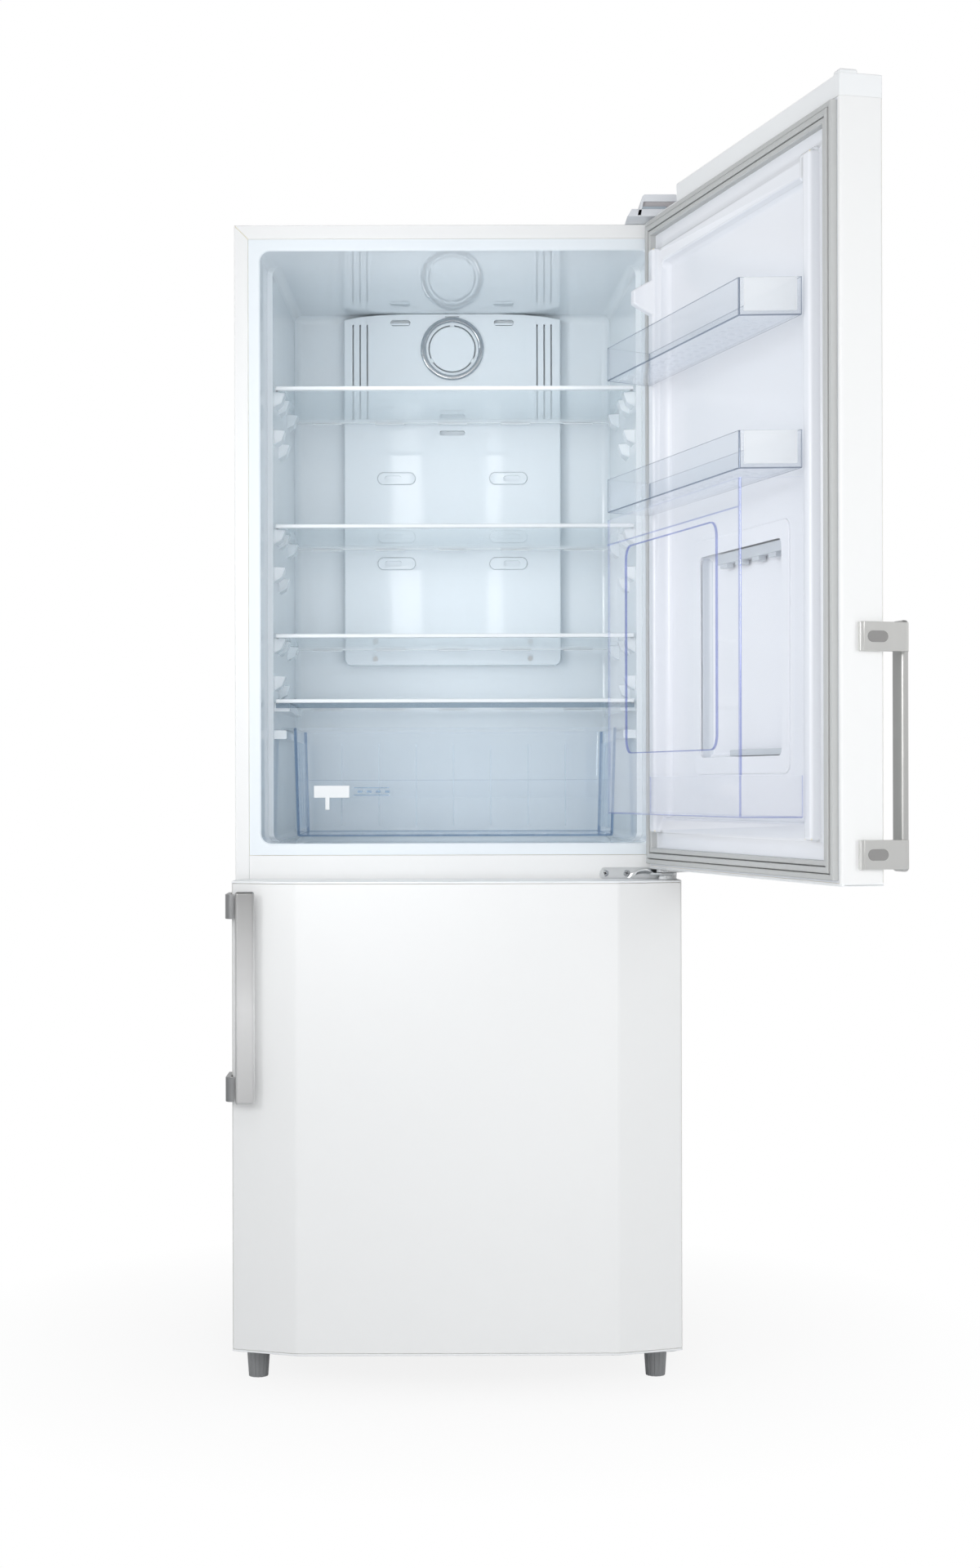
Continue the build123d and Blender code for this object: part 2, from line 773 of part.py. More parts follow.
slot_ins = (41.9, 29.1, 16.5)
slot_w = 2.5
slot_drops = (190.0, 19.5)
outlet_x = 93.0
outlet_drop = 15.0
outlet_w = 36.0
outlet_h = 12.0
centre_drop = 151.0
centre_outlet_w = 47.0
centre_outlet_h = 10.0
jet_x = 100.5
jet_drops = (297.0, 450.0)
jet_w = 70.0
jet_h = 24.0
jet_d = 6.0
jet_hole_w = 19.0
jet_hole_h = 9.0
disc_gap = 4.5
duct_r = 12.0
duct_screw_in = 55.5
duct_screw_rise = 12.0
slot_xs = tuple(duct_half - inset for inset in slot_ins)
slot_zs = tuple(fridge_z1 - drop for drop in slot_drops)
outlet_z = fridge_z1 - outlet_drop
centre_outlet = (0.0, ring_z - centre_drop)
jet_zs = tuple(fridge_z1 - drop for drop in jet_drops)
duct_screw_x = duct_half - duct_screw_in
duct_screw_z = duct_z0 + duct_screw_rise
duct_plane = Plane.XZ.offset(-(front_y + fridge_depth - duct_d))

with BuildPart() as air_duct_cover:
    # Raised cold air duct on the back wall, with its slots, outlets and the round grille's disc.
    duct_back = front_y + fridge_depth
    slab((-duct_half, duct_half), (duct_back - duct_d, duct_back), (duct_z0, fridge_z1 - slide_gap))
    low_corners = air_duct_cover.edges().filter_by(Axis.Y).group_by(Axis.Z)[0]
    fillet(low_corners, duct_r)
    slab(
        (-duct_half + duct_wall, duct_half - duct_wall),
        (duct_back - duct_d + duct_wall, duct_back),
        (duct_z0 + duct_wall, fridge_z1 - slide_gap - duct_wall),
        mode=Mode.SUBTRACT,
    )
    with BuildSketch(duct_plane):
        for z in jet_zs:
            with Locations((jet_x, z), (-jet_x, z)):
                SlotOverall(jet_w, jet_h)
    extrude(amount=-jet_d)
    with BuildSketch(duct_plane):
        for z in jet_zs:
            with Locations((jet_x, z), (-jet_x, z)):
                SlotOverall(jet_w - 2 * duct_wall, jet_h - 2 * duct_wall)
    extrude(amount=-(jet_d - duct_wall), mode=Mode.SUBTRACT)
    with BuildSketch(duct_plane):
        for x in slot_xs:
            with Locations((x, sum(slot_zs) / 2), (-x, sum(slot_zs) / 2)):
                SlotOverall(slot_zs[1] - slot_zs[0], slot_w, rotation=90)
        with Locations((outlet_x, outlet_z), (-outlet_x, outlet_z)):
            SlotOverall(outlet_w, outlet_h)
        with Locations(centre_outlet):
            SlotOverall(centre_outlet_w, centre_outlet_h)
        with Locations((0, ring_z)):
            Circle(disc_r + disc_gap)
            Circle(disc_r, mode=Mode.SUBTRACT)
            with PolarLocations(disc_r + disc_gap / 2, 3, start_angle=90):
                Rectangle(3 * disc_gap, 3 * disc_gap, mode=Mode.SUBTRACT)
        for z in jet_zs:
            with Locations((jet_x, z), (-jet_x, z)):
                SlotOverall(jet_hole_w, jet_hole_h)
    extrude(amount=-2 * jet_d, mode=Mode.SUBTRACT)
save(air_duct_cover, "air_duct_cover")

ring_h = 5.0

with BuildPart() as duct_ring:
    # Bright ring round the disc.
    with BuildSketch(duct_plane):
        with Locations((0, ring_z)):
            Circle(ring_r)
            Circle(disc_r + disc_gap, mode=Mode.SUBTRACT)
    extrude(amount=ring_h)
    chamfer(duct_ring.faces().sort_by(Axis.Y)[0].edges(), ring_h / 3)
save(duct_ring, "duct_ring")


def tapered_plate(z0, z1, halves, ys):
    """A flat plate between two y values, with a half width for each."""
    with BuildPart() as plate:
        with BuildSketch(Plane.XY.offset(z0)):
            with BuildLine():
                near, far = halves
                Polyline((near, ys[0]), (far, ys[1]), (-far, ys[1]), (-near, ys[0]), close=True)
            make_face()
        extrude(amount=z1 - z0)
    return plate.part


shelf_y0 = front_y + shelf_front
shelf_y1 = shelf_y0 + shelf_d
trim_lip = 2.0
trim_back_half = shelf_back_half - 8.0

shelf_names = ("upper_shelf", "middle_shelf", "lower_shelf", "crisper_cover")

for name, top in zip(shelf_names, (*shelf_tops, cover_top)):
    glass_ys = (shelf_y0 + trim_lip, shelf_y1 - trim_lip)
    glass = tapered_plate(top - glass_t, top, (shelf_front_half, shelf_back_half), glass_ys)
    with BuildPart() as shelf:
        # Tempered glass plate.
        add(glass)
    save(shelf, name)
    with BuildPart() as trims:
        # White edge strips along the plate's front and back.
        front_zs = (top - trim_h, top + slide_gap)
        back_zs = (top - trim_h, top + trim_lip)
        slab((-shelf_front_half, shelf_front_half), (shelf_y0, shelf_y0 + trim_d), front_zs)
        slab((-trim_back_half, trim_back_half), (shelf_y1 - trim_d, shelf_y1), back_zs)
        add(glass, mode=Mode.SUBTRACT)
    save(trims, f"{name}_trims")


def crisper_form(inset, z0):
    """The crisper's outside, or with an inset its inside, tapering to the bottom."""
    y0 = front_y + crisper_front
    with BuildPart() as form:
        for z, half in ((z0, crisper_bottom_half), (crisper_z1, crisper_top_half)):
            with BuildSketch(Plane((0, y0 + crisper_d / 2, z))):
                RectangleRounded(2 * (half - inset), crisper_d - 2 * inset, corner_r - inset)
        loft(ruled=True)
    return form.part


crisper_outside = crisper_form(0, crisper_z0)
crisper_inside = crisper_form(crisper_wall, crisper_z0 + crisper_wall)
guide_d = 4.0
guide_t = 2.6
guide_lap = 1.2
crisper_y = front_y + crisper_front
slider_y = crisper_y - slide_gap

with BuildPart() as crisper:
    # Clear salad drawer that hangs by its side rims, with guides for the humidity slider.
    add(crisper_outside)
    for xs in both(crisper_top_half - corner_r, crisper_rim):
        slab(xs, (crisper_y + corner_r, crisper_y + crisper_d - corner_r), (crisper_z1 - rail_t, crisper_z1))
    add(crisper_inside, mode=Mode.SUBTRACT)
    slider_end = slider_x + slider_w / 2 + slider_travel
    guide_xs = (slider_x - slider_w / 2 - guide_t, slider_end + guide_t)
    upper_z = slider_z + slider_h / 2 + slide_gap
    lower_z = slider_z - slider_h / 2 - slide_gap
    tab_room = (tab_x - tab_w / 2 - guide_t, tab_x + slider_travel + tab_w / 2 + guide_t)
    face = crisper_y + crisper_wall
    slab(guide_xs, (crisper_y - guide_d, face), (upper_z, upper_z + guide_t))
    slab(guide_xs, (crisper_y - guide_d, slider_y - slider_t - slide_gap), (upper_z - guide_lap, upper_z))
    for xs in ((guide_xs[0], tab_room[0]), (tab_room[1], guide_xs[1])):
        slab(xs, (crisper_y - guide_d, face), (lower_z - guide_t, lower_z))
        slab(xs, (crisper_y - guide_d, slider_y - slider_t - slide_gap), (lower_z, lower_z + guide_lap))
    for x in (guide_xs[0] - guide_t, guide_xs[1]):
        slab((x, x + guide_t), (crisper_y - guide_d, face), (lower_z - guide_t, upper_z + guide_t))
save(crisper, "crisper")

with BuildPart() as humidity_slider:
    # White plate with a finger tab, which moves sideways over the crisper's air slots.
    xs = (slider_x - slider_w / 2, slider_x + slider_w / 2)
    slab(xs, (slider_y - slider_t, slider_y), (slider_z - slider_h / 2, slider_z + slider_h / 2))
    tab_xs = (tab_x - tab_w / 2, tab_x + tab_w / 2)
    slab(tab_xs, (slider_y - slider_t, slider_y), (slider_z - slider_h / 2 - tab_h, slider_z))
    slab(tab_xs, (slider_y - guide_d - guide_t, slider_y), (slider_z - slider_h / 2 - tab_h, slider_z))
save(humidity_slider, "humidity_slider")

drawer_d = freezer_depth - drawer_front - drawer_back_gap
low_drawer_d = hump_y - trim_d - front_y - drawer_front
grip_half = 90.0
grip_d = 12.0
grip_t = 6.0
grip_drop = 14.0
front_out = 3.0
front_half = drawer_half + front_out

for name, depth, (z0, z1) in zip(
    ("lower_drawer", "middle_drawer", "upper_drawer"), (low_drawer_d, drawer_d, drawer_d), drawer_zs
):
    with BuildPart() as drawer:
        # Clear freezer drawer with a ledge along its front to pull it by.
        y0 = front_y + drawer_front
        slab((-drawer_half, drawer_half), (y0, y0 + depth), (z0, z1))
        slab((-front_half, front_half), (y0, y0 + 2 * drawer_wall), (z0 + ledge_h, z1))
        slab(
            (-drawer_half + drawer_wall, drawer_half - drawer_wall),
            (y0 + 2 * drawer_wall, y0 + depth - drawer_wall),
            (z0 + drawer_wall, z1),
            mode=Mode.SUBTRACT,
        )
        slab((-grip_half, grip_half), (y0 - grip_d, y0), (z1 - grip_drop - grip_t, z1 - grip_drop))
    save(drawer, name)


# ---------------------------------------------------------------- hinges

foot_plate = (front_y + foot_plate_in, front_y + foot_plate_in + foot_plate_d)
plate_xs = (hinge_x - hinge_w + pin_in - plate_t, hinge_x + pin_in - plate_t)

with BuildPart() as bottom_hinge:
    # Plate under the right front corner, with the pin on which the freezer door stands.
    slab(plate_xs, (hinge_y, foot_plate[1]), (-plate_t, 0))
    upright(hinge_x, hinge_y, -plate_t, 0, pin_in - plate_t)
    slab(plate_xs, foot_plate, (-plate_t, pan_rise))
    upright(foot_x, foot_y, -plate_t, pan_rise, nut_r, mode=Mode.SUBTRACT)
    upright(hinge_x, hinge_y, -plate_t, freezer_door_z0 + pin_reach, pin_r)
    upright(hinge_x, hinge_y, -plate_t, freezer_door_z0 - rest_gap, collar_r)
save(bottom_hinge, "bottom_hinge")

mid_z = (freezer_door_z1 + fridge_door_z0) / 2
arm_zs = (mid_z - plate_t / 2, mid_z + plate_t / 2)
mid_xs = (flange_half - mid_plate_w - mid_plate_in, flange_half - mid_plate_in)
stop_z0 = fridge_door_z0 - stop_h

with BuildPart() as mid_hinge:
    # Plate screwed to the crossbar, with an arm and a pin into each door.
    slab(mid_xs, (front_y - plate_t, front_y), (mid_z - mid_plate_h / 2, mid_z + mid_plate_h / 2))
    fillet(mid_hinge.edges().filter_by(Axis.Y), mid_plate_h / 3)
    slab((plate_xs[0], plate_xs[1]), (hinge_y, front_y - plate_t), arm_zs)
    slab((plate_xs[0], mid_xs[1]), (front_y - 2 * plate_t, front_y), arm_zs)
    upright(hinge_x, hinge_y, arm_zs[0], arm_zs[1], pin_in - plate_t)
    upright(hinge_x, hinge_y, freezer_door_z1 - pin_reach, fridge_door_z0 + pin_reach, pin_r)
    upright(hinge_x, hinge_y, freezer_door_z1 + rest_gap, stop_z0 - rest_gap, collar_r)
save(mid_hinge, "mid_hinge")

top_plate_z = hinge_side_top + plate_t
top_plate_zs = (top_plate_z, top_plate_z + plate_t)

with BuildPart() as top_hinge:
    # Bracket on the cabinet's top, with the pin that holds the upper door's top corner.
    slab(plate_xs, (hinge_y, foot_plate[1]), top_plate_zs)
    upright(hinge_x, hinge_y, top_plate_zs[0], top_plate_zs[1], pin_in - plate_t)
    slab(plate_xs, foot_plate, (cab_h, top_plate_zs[1]))
    upright(hinge_x, hinge_y, hinge_side_top - pin_reach, top_plate_zs[1], pin_r)
save(top_hinge, "top_hinge")

cover_xs = (half_w - hinge_cover_w, half_w)
cover_ys = (hinge_y - pin_in, foot_plate[1] + 2 * hinge_cover_wall)
cover_low = cab_h + hinge_cover_low
cover_high = cab_h + hinge_cover_h
over_door = hinge_side_top + plate_t / 2
high_x = cover_xs[0] + hinge_cover_step
low_room_xs = (cover_xs[0] + hinge_cover_wall, cover_xs[1] - hinge_cover_wall)
high_room_xs = (high_x + hinge_cover_wall, cover_xs[1] - hinge_cover_wall)
room_ys = (cover_ys[0] + hinge_cover_wall, cover_ys[1] - hinge_cover_wall)

with BuildPart() as top_hinge_cover:
    # Light grey snap-on cover over the top hinge: a low foot and a taller box.
    slab(cover_xs, (front_y, cover_ys[1]), (cab_h, cover_low))
    slab(cover_xs, (cover_ys[0], front_y), (over_door, cover_low))
    slab((high_x, cover_xs[1]), cover_ys, (cover_low, cover_high))
    fillet(top_hinge_cover.faces().sort_by(Axis.Z)[-1].edges(), hinge_cover_wall)
    slab(low_room_xs, room_ys, (cab_h, cover_low - hinge_cover_wall), mode=Mode.SUBTRACT)
    slab(high_room_xs, room_ys, (cab_h, cover_high - hinge_cover_wall), mode=Mode.SUBTRACT)
save(top_hinge_cover, "top_hinge_cover")

mid_screw_ins = (7.0, 43.5)
top_screw_in = 12.0
cover_screw_in = 60.0
cover_screw_end = 30.0
mid_screw_xs = tuple(mid_xs[0] + inset for inset in mid_screw_ins)
top_screw_xs = (plate_xs[0] + top_screw_in, plate_xs[1] - top_screw_in)
cover_screw_x = inner_half - cover_screw_in
cover_screw_zs = (cover_screw_end, bay_h - cover_screw_end)

with BuildPart() as screws:
    # Pan-head screws of one size: hinges, air duct and bay cover.
    for x in mid_screw_xs:
        lengthwise(x, front_y - plate_t - screw_head_h, front_y - plate_t, mid_z, screw_head_r)
    for x in (duct_screw_x, -duct_screw_x):
        duct_front = front_y + fridge_depth - duct_d
        lengthwise(x, duct_front - screw_head_h, duct_front, duct_screw_z, screw_head_r)
    for x in top_screw_xs:
        upright(x, sum(foot_plate) / 2, top_plate_zs[1], top_plate_zs[1] + screw_head_h, screw_head_r)
    for x in (cover_screw_x, -cover_screw_x):
        for z in cover_screw_zs:
            lengthwise(x, panel_back, panel_back + screw_head_h, z, screw_head_r)
save(screws, "screws")


# ---------------------------------------------------------------- doors

foam_n = 30.0
bracket_end = 4.0
bracket_t = 4.0
bracket_foot = 8.0
bar_r = 5.0
seal_base = 2.0
seal_lip = 9.0
seal_ridge_w = 6.0
magnet_ridge_w = 6.5
magnet_ridge_in = 7.5
inner_ridge_in = 16.0
inner_ridge_drop = 1.5
seal_full = seal_gap - seal_slack
seal_ridges = (
    (seal_in, seal_w, seal_base),
    (seal_in, seal_ridge_w, seal_lip),
    (seal_in + magnet_ridge_in, magnet_ridge_w, seal_full),
    (seal_in + inner_ridge_in, seal_ridge_w, seal_full - inner_ridge_drop),
)
cap_hollow = 3.0


def door_block(inset, z0, z1):
    """A shut door's full thickness between two heights, drawn in by an inset."""
    with BuildPart() as block:
        with BuildSketch(Plane.XY.offset(z0)) as outline:
            with BuildLine():
                Polyline(
                    (-half_w, door_back),
                    (-half_w, door_front),
                    (bevel_w - half_w, door_front - bevel_d),
                    (half_w - bevel_w, door_front - bevel_d),
                    (half_w, door_front),
                    (half_w, door_back),
                    close=True,
                )
            make_face()
            fillet(outline.vertices().group_by(Axis.Y)[-1], door_corner_r)
            if inset > 0:
                offset(amount=-inset, kind=Kind.INTERSECTION)
        extrude(amount=z1 - z0)
    return block.part


def door_skin_between(z0, z1):
    """The door's folded steel: front, bevels, sides and a narrow return at the back."""
    outside = door_block(0, z0, z1)
    inside = door_block(door_skin, z0, z1)
    with BuildPart() as steel:
        add(outside)
        add(inside, mode=Mode.SUBTRACT)
        edge = half_w - flange_in
        slab((-edge, edge), (door_back - 2 * door_skin, door_back), (z0, z1), mode=Mode.SUBTRACT)
    return steel


def liner_bulk(zs, dyke_half, dyke_zs, tank, grow):
    """The space under a door's liner or, with grow, up to its face: border, raised ring, sunken middle."""
    under = grow - liner_t
    pocket_half = dyke_half - dyke_w - under
    with BuildPart() as bulk:
        edge = half_w - flange_in
        slab((-edge, edge), (depth_y(foam_n), depth_y(door_t + under)), zs)
        ring_half = dyke_half + under
        cross_zs = (dyke_zs[0] - under, dyke_zs[1] + under)
        slab((-ring_half, ring_half), (depth_y(foam_n), depth_y(cross_dyke_n + under)), cross_zs)
        for xs in both(pocket_half, ring_half):
            slab(xs, (depth_y(foam_n), depth_y(dyke_n + under)), cross_zs)
        pocket_zs = (dyke_zs[0] + dyke_w + under, dyke_zs[1] - dyke_w - under)
        pocket_ys = (depth_y(panel_n + under), depth_y(dyke_n))
        slab((-pocket_half, pocket_half), pocket_ys, pocket_zs, mode=Mode.SUBTRACT)
        if tank:
            half = tank_half - under
            slab(
                (-half, half),
                (depth_y(tank_n + under), depth_y(dyke_n)),
                (tank_z0 + under, tank_z1 - under),
                mode=Mode.SUBTRACT,
            )
    return bulk.part


def door_foam(zs, bulk, bosses):
    """Foam between a door's steel and its liner."""
    inside = door_block(door_skin, *zs)
    edge = half_w - flange_in
    with BuildPart() as foam:
        add(inside)
        slab((-edge, edge), (depth_y(foam_n), door_back), zs, mode=Mode.SUBTRACT)
        add(bulk)
        for z0, z1 in bosses:
            upright(hinge_x, hinge_y, z0, z1, boss_r, mode=Mode.SUBTRACT)
    return foam


def bored_boss(z_face, towards):
    """A boss inside a cap, bored for a hinge pin, from the door's end face inwards."""
    ends = sorted((z_face, z_face + towards * (pin_reach + boss_end)))
    bore = sorted((z_face, z_face + towards * (pin_reach + plate_t / 2)))
    upright(hinge_x, hinge_y, ends[0], ends[1], boss_r)
    upright(hinge_x, hinge_y, bore[0], bore[1], pin_r + pin_clearance, mode=Mode.SUBTRACT)


def seal_rings(zs):
    """The three ridges of a seal on their flat base, as nested rectangles on the door's back."""
    width = 2 * half_w
    height = zs[1] - zs[0]
    for inset, across, tall in seal_ridges:
        with BuildSketch(door_back_plane) as ring:
            with Locations((0, sum(zs) / 2)):
                Rectangle(width - 2 * inset, height - 2 * inset)
                Rectangle(width - 2 * (inset + across), height - 2 * (inset + across), mode=Mode.SUBTRACT)
        extrude(ring.sketch, amount=-tall)


def handle_brackets(z0):
    """Two curved metal plates on the door's side that hold a handle's bar."""
    out = -half_w - bracket_out
    for low in (z0 + bracket_end, z0 + handle_len - bracket_end - bracket_h):
        zs = (low, low + bracket_h)
        slab((out, out + bracket_t), (depth_y(-bracket_n), depth_y(bracket_n)), zs)
        slab((out, -half_w), (depth_y(bracket_n - bracket_foot), depth_y(bracket_n)), zs)
        slab((out, -half_w + bar_in), (depth_y(-bracket_n), depth_y(bar_n)), zs)


def handle_bar(z0):
    """The upright bar of a handle, in front of the door's bevel."""
    x0 = -half_w + bar_in
    slab((x0, x0 + bar_w), (depth_y(bar_n - bar_t), depth_y(bar_n)), (z0, z0 + handle_len))


freezer_zs = (freezer_door_z0 + cap_t, freezer_door_z1 - cap_t)
freezer_dyke_zs = (freezer_door_z0 + freezer_dyke_in, freezer_door_z1 - freezer_dyke_in)
freezer_dyke_half = half_w - dyke_in - dyke_margin
freezer_bulk = liner_bulk(freezer_zs, freezer_dyke_half, freezer_dyke_zs, False, 0)
freezer_face = liner_bulk(freezer_zs, freezer_dyke_half, freezer_dyke_zs, False, liner_t)
freezer_bosses = (
    (freezer_zs[0], freezer_door_z0 + pin_reach + boss_end),
    (freezer_door_z1 - pin_reach - boss_end, freezer_zs[1]),
)

freezer_door_panel = door_skin_between(*freezer_zs)
save(freezer_door_panel, "freezer_door_panel")
freezer_door_foam = door_foam(freezer_zs, freezer_bulk, freezer_bosses)
save(freezer_door_foam, "freezer_door_foam")

with BuildPart() as freezer_door_liner:
    # White moulded inner side of the freezer door.
    add(freezer_face)
    add(freezer_bulk, mode=Mode.SUBTRACT)
save(freezer_door_liner, "freezer_door_liner")

with BuildPart() as freezer_door_caps:
    # Plastic ends of the freezer door, each with a bushed boss for its hinge pin.
    for z_face, towards in ((freezer_door_z0, 1), (freezer_door_z1, -1)):
        ends = sorted((z_face, z_face + towards * cap_t))
        add(door_block(0, *ends))
        bored_boss(z_face, towards)
save(freezer_door_caps, "freezer_door_caps")

with BuildPart() as freezer_door_seal:
    # Grey seal round the freezer door's back.
    seal_rings((freezer_door_z0, freezer_door_z1))
save(freezer_door_seal, "freezer_door_seal")

freezer_handle_z = freezer_door_z1 - handle_top - handle_len

with BuildPart() as freezer_handle_brackets:
    # Satin metal brackets of the freezer door's handle.
    handle_brackets(freezer_handle_z)
save(freezer_handle_brackets, "freezer_handle_brackets")

with BuildPart() as freezer_handle_bar:
    # Satin metal bar of the freezer door's handle.
    handle_bar(freezer_handle_z)
    fillet(freezer_handle_bar.edges().filter_by(Axis.Z), bar_r)
save(freezer_handle_bar, "freezer_handle_bar")

fridge_zs = (fridge_door_z0 + cap_t, hinge_side_top - cap_t)
fridge_dyke_zs = (fridge_dyke_z0, fridge_dyke_z1)
fridge_bulk = liner_bulk(fridge_zs, fridge_dyke_half, fridge_dyke_zs, True, 0)
fridge_face = liner_bulk(fridge_zs, fridge_dyke_half, fridge_dyke_zs, True, liner_t)
fridge_bosses = (
    (fridge_zs[0], fridge_door_z0 + pin_reach + boss_end),
    (hinge_side_top - pin_reach - boss_end, fridge_zs[1]),
)

fridge_door_panel = door_skin_between(*fridge_zs)
save(fridge_door_panel, "fridge_door_panel", swing)
fridge_door_foam = door_foam(fridge_zs, fridge_bulk, fridge_bosses)
save(fridge_door_foam, "fridge_door_foam", swing)

tab_xs = (fridge_dyke_half - dyke_w - tab_gap - tab_t, fridge_dyke_half - dyke_w - tab_gap)
peg_xs = (tab_xs[0] - tab_gap, fridge_dyke_half - dyke_w + liner_t)
peg_ys = (depth_y(peg_n), depth_y(peg_n + peg_w))
bins = (
    ("upper_door_bin", bin_zs[0], bin_h, bin_lift),
    ("middle_door_bin", bin_zs[1], bin_h, bin_lift),
    ("bottle_bin", bottle_z0, bottle_bin_h, bottle_lift),
)

with BuildPart() as fridge_door_liner:
    # White moulded inner side of the upper door, with the pegs that the bins hang on.
    add(fridge_face)
    add(fridge_bulk, mode=Mode.SUBTRACT)
    for name, z0, height, travel in bins:
        for xs in both(*peg_xs):
            slab(xs, peg_ys, (z0 + travel - peg_gap - peg_h, z0 + travel - peg_gap))
save(fridge_door_liner, "fridge_door_liner", swing)

with BuildPart() as fridge_door_bottom_cap:
    # Plastic lower end of the upper door, with its hinge bush and stop.
    add(door_block(0, fridge_door_z0, fridge_zs[0]))
    upright(hinge_x, hinge_y, stop_z0, fridge_door_z0, stop_r)
    slab((hinge_x - stop_len, hinge_x), (hinge_y - boss_r, hinge_y + boss_r), (stop_z0, fridge_door_z0))
    bored_boss(fridge_door_z0, 1)
    upright(hinge_x, hinge_y, stop_z0, fridge_zs[0], pin_r + pin_clearance, mode=Mode.SUBTRACT)
save(fridge_door_bottom_cap, "fridge_door_bottom_cap", swing)

cap_top = door_block(0, fridge_zs[1], fridge_door_z1)
cap_room = door_block(cap_hollow, fridge_zs[1], fridge_door_z1 - cap_hollow)

with BuildPart() as cap_inside:
    # The hollow of the upper door's top cap, up to the notch over the hinge.
    add(cap_room)
    notch_x = half_w - hinge_notch
    notch_ys = (door_front - door_t, door_back)
    slab((notch_x - cap_hollow, half_w), notch_ys, (fridge_zs[1], fridge_door_z1), mode=Mode.SUBTRACT)

with BuildPart() as fridge_door_top_cap:
    # Tall hollow upper end of the upper door, cut low over the hinge.
    add(cap_top)
    slab((notch_x, half_w), notch_ys, (hinge_side_top, fridge_door_z1), mode=Mode.SUBTRACT)
    add(cap_inside.part, mode=Mode.SUBTRACT)
    bored_boss(hinge_side_top, -1)
save(fridge_door_top_cap, "fridge_door_top_cap", swing)

with BuildPart() as fridge_door_seal:
    # Grey seal round the upper door's back.
    seal_rings((fridge_door_z0, hinge_side_top))
save(fridge_door_seal, "fridge_door_seal", swing)

fridge_handle_z = fridge_door_z0 + handle_end

with BuildPart() as fridge_handle_brackets:
    # Satin metal brackets of the upper door's handle.
    handle_brackets(fridge_handle_z)
save(fridge_handle_brackets, "fridge_handle_brackets", swing)

with BuildPart() as fridge_handle_bar:
    # Satin metal bar of the upper door's handle.
    handle_bar(fridge_handle_z)
    fillet(fridge_handle_bar.edges().filter_by(Axis.Z), bar_r)
save(fridge_handle_bar, "fridge_handle_bar", swing)

bin_ys = (depth_y(bin_n0), depth_y(bin_n1))
bin_in_ys = (depth_y(bin_n0 + bin_wall), depth_y(bin_n1 - bin_wall))
bin_in_halves = (bin_back_half - bin_wall, bin_front_half - bin_wall)

for name, z0, height, travel in bins:
    outside = tapered_plate(z0, z0 + height, (bin_back_half, bin_front_half), bin_ys)
    inside = tapered_plate(z0 + bin_wall, z0 + height, bin_in_halves, bin_in_ys)
    with BuildPart() as door_bin:
        # Clear open bin with a slotted tab at each end that hooks over a peg.
        add(outside)
        add(inside, mode=Mode.SUBTRACT)
        for xs in both(*tab_xs):
            slab(xs, (depth_y(tab_n), bin_in_ys[0]), (z0 + tab_foot, z0 + height - tab_foot))
            slot_ys = (peg_ys[0] - peg_gap, peg_ys[1] + peg_gap)
            slab(xs, slot_ys, (z0 + tab_foot, z0 + travel), mode=Mode.SUBTRACT)
    save(door_bin, name, swing)

guard_zs = (bottle_z0 + bottle_bin_h, guard_z1)
guard_outside = tapered_plate(*guard_zs, (bin_back_half, bin_front_half), bin_ys)
guard_inside = tapered_plate(*guard_zs, bin_in_halves, bin_in_ys)

with BuildPart() as bottle_guard:
    # Tall clear fence on the bottle bin, with a window in front and an open back under its top bar.
    add(guard_outside)
    add(guard_inside, mode=Mode.SUBTRACT)
    slab(
        (-bin_back_half + bin_wall, bin_back_half - bin_wall),
        (bin_ys[0], bin_in_ys[0]),
        (guard_zs[0], guard_z1 - guard_bar_h),
        mode=Mode.SUBTRACT,
    )
    with BuildSketch(Plane.XZ.offset(-bin_ys[1])):
        with Locations((0, (window_z0 + window_z1) / 2)):
            RectangleRounded(2 * window_half, window_z1 - window_z0, window_r)
    extrude(amount=2 * bin_wall, mode=Mode.SUBTRACT)
save(bottle_guard, "bottle_guard", swing)

rail_bar_h = 15.0
rail_bar_t = 12.0
rail_bar_ends = (60.0, 104.0)

with BuildPart() as tank_rails:
    # Two grey bars across the recess for the water tank.
    upper_bar_z0 = tank_z1 - rail_bar_h - liner_t
    bar_ys = (depth_y(tank_n), depth_y(tank_n + rail_bar_t))
    for z0, short in zip((upper_bar_z0, tank_z0), rail_bar_ends):
        slab((-tank_half, tank_half - short), bar_ys, (z0, z0 + rail_bar_h))
save(tank_rails, "tank_rails", swing)
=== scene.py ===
import math

import bmesh
import bpy
from mathutils import Matrix, Vector


